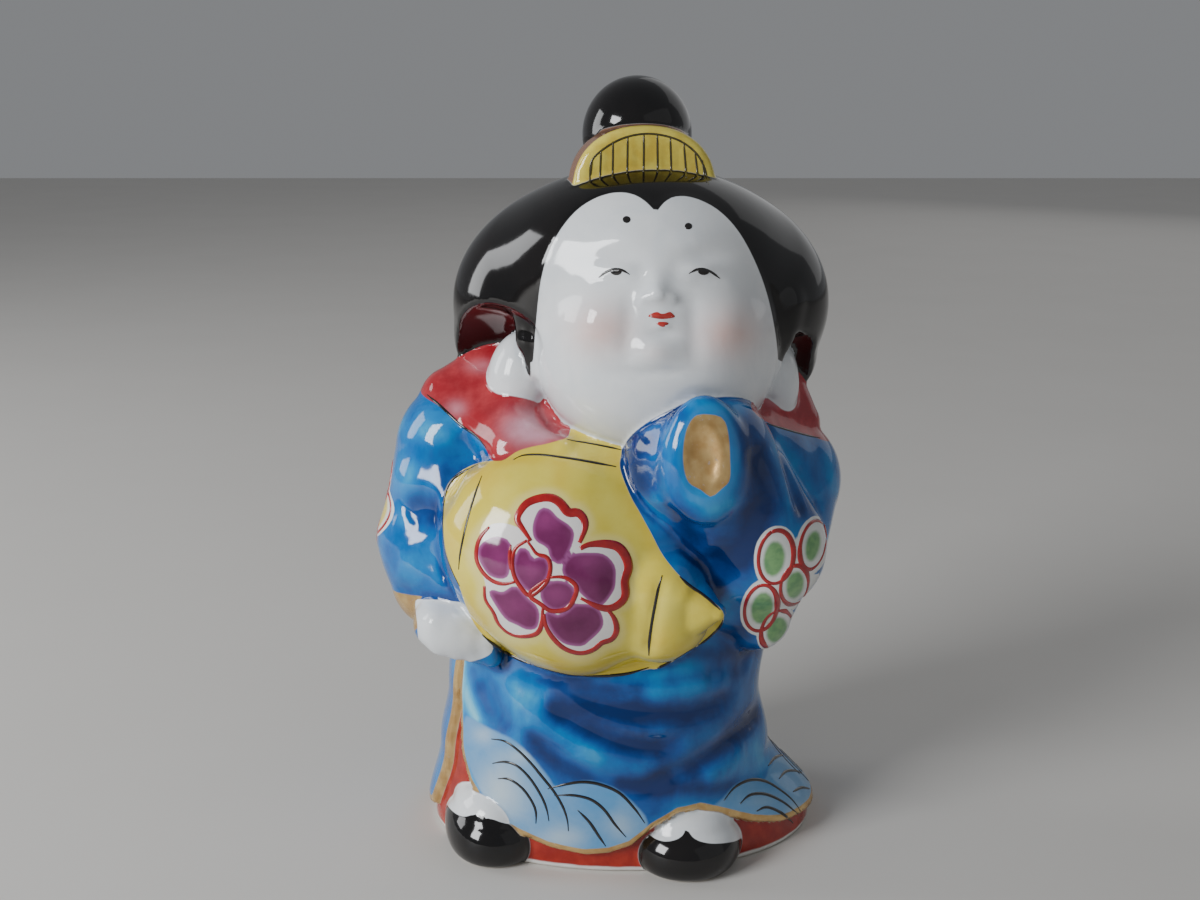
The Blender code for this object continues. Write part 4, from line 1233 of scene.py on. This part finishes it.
class Enamel:
    """Collects strokes and spots of one colour into one mesh."""

    def __init__(self, name, material):
        self.name, self.material = name, material
        self.verts, self.faces = [], []

    def tube(self, points, widths, rise, closed=False):
        length = np.linalg.norm(np.diff(points, axis=0), axis=1).sum()
        if length < 0.5:
            return
        n = max(4, int(length / 0.36))
        line = spline(points, n) if len(points) > 2 else np.linspace(points[0], points[-1], n)
        line = np.array([nearest(p) for p in line])
        for _ in range(2):
            line[1:-1] = (line[:-2] + 2 * line[1:-1] + line[2:]) / 4
        line = np.array([nearest(p) for p in line])
        normals = gradient(figure_field, line.astype(F), 0.3)
        normals /= np.maximum(np.linalg.norm(normals, axis=1), 1e-6)[:, None]
        tangent = np.gradient(line, axis=0)
        tangent /= np.maximum(np.linalg.norm(tangent, axis=1), 1e-9)[:, None]
        side = np.cross(tangent, normals)
        side /= np.maximum(np.linalg.norm(side, axis=1), 1e-9)[:, None]
        w = np.interp(np.linspace(0, 1, n), np.linspace(0, 1, len(widths)), widths)
        m = 3 if max(widths) < 0.7 else 5
        across = np.linspace(-1, 1, m)
        base = len(self.verts)
        for i in range(n):
            top, low = [], []
            for s in across:
                q = nearest(line[i] + side[i] * s * w[i] * 0.5)
                top.append(q + normals[i] * (0.035 + rise * (1 - s * s)))
                low.append(q - normals[i] * 0.16)
            self.verts += top + low[::-1]
        k = 2 * m
        for i in range(n - 1):
            a, b = base + i * k, base + (i + 1) * k
            for j in range(k):
                self.faces.append((a + j, a + (j + 1) % k, b + (j + 1) % k, b + j))
        self.faces.append(tuple(base + j for j in range(k))[::-1])
        self.faces.append(tuple(base + (n - 1) * k + j for j in range(k)))

    def strokes(self, hits, width, rise, ends):
        run, runs = [], []
        for h in hits:
            if h is None or (run and np.linalg.norm(h - run[-1]) > 2.2):
                runs.append(run)
                run = []
            if h is not None:
                run.append(h)
        runs.append(run)
        widths = np.atleast_1d(np.array(width, float))
        full = np.interp(np.linspace(0, 1, 21), np.linspace(0, 1, len(widths)), widths) if len(widths) > 1 else \
            np.full(21, widths[0])
        t = np.linspace(0, 1, 21)
        full = full * (ends[0] + (1 - ends[0]) * step01(t / 0.2)) * (ends[1] + (1 - ends[1]) * step01((1 - t) / 0.2))
        for r in runs:
            if len(r) >= 3:
                self.tube(np.array(r), full, rise)

    def brush(self, px, width, rise=0.05, ends=(0.35, 0.35)):
        """A stroke through pixels; width in mm."""
        px = np.asarray(px, float)
        length = np.linalg.norm(np.diff(px, axis=0), axis=1).sum()
        dense = spline(px, max(4, int(length / 2.5)))
        self.strokes([seen(u, v) for u, v in dense], width, rise, ends)

    def around(self, line, width, rise=0.05, ends=(0.35, 0.35)):
        """A stroke through (degrees round the figure, height)."""
        dense = spline(line, max(6, int(sum(abs(b[0] - a[0]) * ARC + abs(b[1] - a[1]) for a, b in zip(line, line[1:])) / 0.5)))
        hits = []
        for a, z in dense:
            out = np.array([math.sin(math.radians(a)), -math.cos(math.radians(a)), 0.0])
            p, _, _, _ = BODY.ray_cast(Vector(out * 70 + np.array([0, 0, z])), Vector(-out))
            hits.append(None if p is None else np.array(p))
        self.strokes(hits, width, rise, ends)

    def placed(self, place, outline, width, rise=0.05):
        dense = loop_spline(outline, 48)
        dense = np.vstack([dense, dense[:1]])
        self.strokes([place.hit(a, b) for a, b in dense], width, rise, (1.0, 1.0))

    def spot(self, outline, rise=0.05, n=36):
        """A filled spot with a pixel outline."""
        o = loop_spline(outline, n)
        c = o.mean(0)
        base = len(self.verts)
        rings = (1.0, 0.86, 0.6, 0.3)
        nrm = smooth_normal(seen(*c))
        rows = []
        for s in (1.0,) + rings:
            row = [seen(*(c + (p - c) * s)) for p in o]
            rows.append(row)
        lift = (-0.16, 0.04, 0.04 + rise * 0.6, 0.04 + rise * 0.9, 0.04 + rise)
        for row, h in zip(rows, lift):
            for p in row:
                self.verts.append(p + nrm * h)
        for k in range(len(rows) - 1):
            for j in range(n):
                a, b = base + k * n + j, base + k * n + (j + 1) % n
                self.faces.append((a, b, b + n, a + n))
        self.verts.append(seen(*c) + nrm * (0.04 + rise))
        self.verts.append(seen(*c) - nrm * 0.25)
        last = base + (len(rows) - 1) * n
        for j in range(n):
            self.faces.append((last + j, last + (j + 1) % n, len(self.verts) - 2))
            self.faces.append((base + (j + 1) % n, base + j, len(self.verts) - 1))

    def make(self):
        mesh = bpy.data.meshes.new(self.name)
        mesh.from_pydata([tuple(float(c) * MM for c in v) for v in self.verts], [], [tuple(int(i) for i in f) for f in self.faces])
        bm = bmesh.new()
        bm.from_mesh(mesh)
        bmesh.ops.recalc_face_normals(bm, faces=bm.faces)
        bm.to_mesh(mesh)
        bm.free()
        mesh.shade_smooth()
        mesh.materials.append(self.material)
        obj = bpy.data.objects.new(self.name, mesh)
        bpy.context.scene.collection.objects.link(obj)
        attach(obj, "root")
        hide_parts("figure")
        print(self.name, len(mesh.polygons))
        return obj


PX = 0.165                 # mm for each pixel, near enough over the front
ink = Enamel("enamel_black_lines", enamel("enamel_black", (14, 12, 12), (30, 26, 24)))
rouge = Enamel("enamel_red_lines", enamel("enamel_red", (176, 26, 28), (150, 20, 26)))
lips = Enamel("enamel_lips", enamel("enamel_lip", (186, 50, 40), (166, 38, 34)))
olive = Enamel("enamel_comb_lines", enamel("enamel_olive", (54, 50, 22), (74, 66, 30)))

# sash
for pts, w in (
        ([(481.8, 475.9), (475.5, 493), (467.6, 519), (462.6, 540.7), (459.7, 556.5), (458.7, 569.4)], 2.4),
        ([(566.4, 439.5), (588.2, 443), (607.9, 446.8), (620.8, 449.8)], 2.4),
        ([(513, 460), (522.9, 455.3), (540.7, 454.7), (558.5, 456.7), (580.3, 460), (600, 463.6), (615.8, 466.6)], 2.8),
        ([(477.4, 464.6), (463.6, 471.5), (451.7, 480.4), (444.8, 495), (442.9, 519), (443.8, 540.7), (446.8, 556.5),
          (452.7, 572.3), (459.7, 586.2)], 2.6),
        ([(482, 634.5), (489.3, 641), (505, 652), (524.9, 662), (548.6, 670), (568.4, 674.5), (588.2, 676), (607.9, 675.7),
          (627.7, 673.6), (648.5, 667.6)], 2.8),
        ([(662.3, 575.3), (658.4, 588), (654.4, 608), (651, 627.7), (649.1, 643.5), (648.9, 655.4)], 2.6),
        ([(679.5, 576.3), (689, 585.2), (700.9, 593), (710.8, 601), (720.2, 609.9)], 2.8),
        ([(723.6, 615), (720.6, 625.7), (706.8, 639.6), (691, 649.5), (675.2, 659.3), (657.4, 668.3)], 2.4),
        ([(427, 394.6), (440.4, 406), (461, 425.4), (475.6, 435.6), (486, 447.4)], 2.4),
        ([(766.6, 423.5), (789.6, 430.5), (806, 435), (820, 438)], 2.0)):
    ink.brush(pts, w * PX)

# the same lines along the band's edges on the sides and back
edge_of_band = np.abs(m_sash) < 0.35
for low_z, high_z in ((52.0, 70.0), (34.0, 49.0)):
    rim_points = P[edge_of_band & ~FRONTAL & (P[:, 2] > low_z) & (P[:, 2] < high_z) & (P[:, 1] > 3.0)]
    degrees = np.degrees(np.arctan2(rim_points[:, 0], -rim_points[:, 1])) % 360.0
    line = []
    for a in np.arange(104.0, 262.0, 8.0):
        there = np.abs(degrees - a) < 4.0
        if there.sum() > 3:
            line.append((a, float(np.median(rim_points[there, 2]))))
    for k in range(0, len(line) - 3, 6):
        ink.around(line[k:k + 7], (0.34, 0.46, 0.34))

# waves over the hem
for pts in (
        [(491.4, 739), (504.4, 741), (517.4, 749.7), (530.5, 762.7), (541.3, 775.7), (554.3, 792), (563, 807), (567.3, 820),
         (568.4, 831)],
        [(492.5, 763.4), (504.4, 761.7), (517.4, 766), (530.5, 779), (541.3, 796), (546.7, 809), (548.9, 821)],
        [(498, 778.6), (508.8, 779), (521.8, 787.7), (531.5, 800.7), (535.9, 811.5), (535.9, 823.4)],
        [(547.8, 788.8), (565, 784.4), (582.5, 782), (599.8, 784.4), (619.4, 793), (634.9, 809), (644.7, 823)],
        [(554.3, 795.3), (573.8, 795.3), (591, 799.6), (604, 809.4), (615, 824.5), (626, 837)],
        [(577.5, 810), (589.4, 822), (598, 835), (605.6, 846)],
        [(723.8, 800.5), (734.7, 787.4), (749.8, 780), (765, 781), (780, 789.6), (793, 800.5), (801.9, 813.5)],
        [(740, 803.7), (749.8, 795), (765, 794), (782.4, 801.5), (797.5, 813.5)],
        [(756.3, 811.3), (767, 807), (782.4, 813.5), (793, 823)],
        [(779, 778.8), (786.7, 771), (799.7, 772), (808.4, 781)],
        [(793, 791.8), (801.9, 787.4), (812.7, 789.6)],
        [(768, 766), (776, 757), (788, 755), (798, 762)]):
    ink.brush(pts, (2.3 * PX, 3.1 * PX, 2.1 * PX), ends=(0.4, 0.4))
for c in (100, 125, 150, 175, 200, 225, 250):
    for r in (12.5, 9.3, 6.2):
        fan = [(c + r * math.cos(t), 4.2 + r * 0.62 * math.sin(t)) for t in np.radians(np.linspace(18, 162, 9))]
        ink.around(fan, 0.40)

# comb
for top, bottom in (((592, 160), (590, 178)), ((601, 150), (600, 177)), ((613, 141.5), (612.6, 175)), ((627.7, 137), (627.2, 171.5)),
                    ((643.8, 134.4), (643.6, 169.5)), ((657.2, 134.4), (657.6, 169.5)), ((670.2, 138), (671.2, 171.6)),
                    ((683.8, 143.6), (686, 175)), ((694.8, 151.6), (698, 178)), ((702, 160), (705.6, 180))):
    low = (bottom[0] + 0.15 * (bottom[0] - top[0]), bottom[1] + 2.5)
    olive.brush([top, ((top[0] + low[0]) / 2, (top[1] + low[1]) / 2), low], 1.8 * PX, 0.04, ends=(0.6, 0.7))
olive.brush([(589, 184.7), (589.5, 176), (593.3, 158), (618.6, 140), (646.6, 133.7), (674.7, 138.6), (694.3, 151.2), (704, 166.6),
           (707.7, 180.7), (708.5, 184)], 1.8 * PX, 0.04)

# eyes and brow spots
ink.brush([(598.6, 277.6), (606, 272), (614.6, 268.8), (623, 270.3), (629.8, 274.6)], 2.1 * PX, 0.03, (0.3, 0.3))
ink.brush([(688.8, 273.6), (695, 270), (702, 268.6), (711, 271.8), (720, 278.6)], 2.1 * PX, 0.03, (0.3, 0.3))
for c in ((616.2, 271.6), (703.6, 271.4)):
    ink.spot([(c[0] + 5.6 * math.cos(t), c[1] + (3.6 if math.sin(t) > 0 else 2.6) * math.sin(t))
              for t in np.linspace(0, 2 * math.pi, 16, endpoint=False)], 0.02)
ink.spot([(626.6 + 4.0 * math.cos(t), 219.6 + 3.5 * math.sin(t)) for t in np.linspace(0, 2 * math.pi, 16, endpoint=False)], 0.05)
ink.spot([(688.4 + 3.7 * math.cos(t), 226.2 + 3.3 * math.sin(t)) for t in np.linspace(0, 2 * math.pi, 16, endpoint=False)], 0.05)

# lips
lips.spot([(648, 316.2), (652, 313.2), (657.3, 311.9), (661, 313.6), (665, 313.4), (670, 311.9), (673.6, 314.6),
           (675, 317), (669, 318.4), (662.6, 319), (654, 318.2)], 0.03, 44)
lips.spot([(656, 322.6), (662, 321.8), (668.4, 322.8), (667, 325.4), (663, 327), (658.6, 325.4)], 0.03, 30)

# blossom
for outline, _, w in PETALS:
    rouge.brush(outline, tuple(x * PX * 1.36 for x in w), 0.07, (0.7, 0.6))
rouge.brush([(511, 544.7), (509.6, 554), (510, 564.4), (513, 574)], 3.0 * PX, 0.06)

# flowers on the sleeves
for u, v, a, b, turn in SLEEVE_FLOWER[:5]:
    o = oval(u, v, a, b, turn, 40)
    start = 27 if u < 800 else 8
    o = np.roll(o, -start, axis=0)
    rouge.brush(np.vstack([o, o[:1]]), (0.58, 0.98, 0.60, 0.50, 0.58), 0.07, (1.0, 1.0))
for place, petals, _ in FLOWERS:
    for i, ((a, b), r) in enumerate(petals):
        rouge.placed(place, ring((a, b), r, 0, 0.0, 26), 0.56 if i else 0.48, 0.07)

for e in (ink, olive, rouge, lips):
    e.make()

# ---- floor, light and camera ---------------------------------------------------------------
cam = bpy.data.cameras.new("camera")
camera = bpy.data.objects.new("camera", cam)
bpy.context.scene.collection.objects.link(camera)
bpy.context.scene.camera = camera
cam.sensor_width = 36.0
cam.lens = FOCAL / 1200.0 * 36.0
cam.clip_start = 0.01
camera.location = Vector(EYE * MM)
camera.rotation_euler = (math.pi / 2 - PITCH, 0.0, 0.0)

bm = bmesh.new()
bmesh.ops.create_grid(bm, x_segments=2, y_segments=2, size=1.5)
floor_mesh = bpy.data.meshes.new("floor")
bm.to_mesh(floor_mesh)
bm.free()
floor = bpy.data.objects.new("floor", floor_mesh)
bpy.context.scene.collection.objects.link(floor)
board = Paint("floor")
grain = board.noise(60.0, 4.0, 0.6)
board.put(board.shader.inputs["Base Color"], board.mix(grain, (0.64, 0.62, 0.59, 1), (0.60, 0.58, 0.55, 1)))
board.put(board.shader.inputs["Roughness"], board.add(0.66, board.mul(grain, 0.08)))
floor_mesh.materials.append(board.material)
floor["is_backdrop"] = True

world = bpy.data.worlds.new("studio")
bpy.context.scene.world = world
world.use_nodes = True
world.node_tree.nodes["Background"].inputs["Color"].default_value = (0.75, 0.77, 0.8, 1)
world.node_tree.nodes["Background"].inputs["Strength"].default_value = 0.30


def area(name, where, look_at, size, power, colour=(1, 1, 1)):
    light = bpy.data.lights.new(name, "AREA")
    light.shape = "RECTANGLE"
    light.size, light.size_y = size
    light.energy = power
    light.color = colour
    obj = bpy.data.objects.new(name, light)
    bpy.context.scene.collection.objects.link(obj)
    obj.location = Vector(where)
    obj.rotation_euler = (Vector(look_at) - Vector(where)).to_track_quat("-Z", "Y").to_euler()
    return obj


area("window", (-0.54, -0.40, 0.34), (0, 0, 0.07), (0.27, 0.35), 5.6, (0.97, 0.985, 1.0))
area("window_side", (-0.60, 0.12, 0.27), (0, 0, 0.08), (0.20, 0.34), 1.1, (0.97, 0.985, 1.0))
area("fill", (0.70, -0.55, 0.40), (0, 0, 0.06), (1.1, 0.9), 0.4)
area("back", (0.55, 0.75, 0.50), (0, 0, 0.06), (1.0, 0.8), 0.8)

low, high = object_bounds()
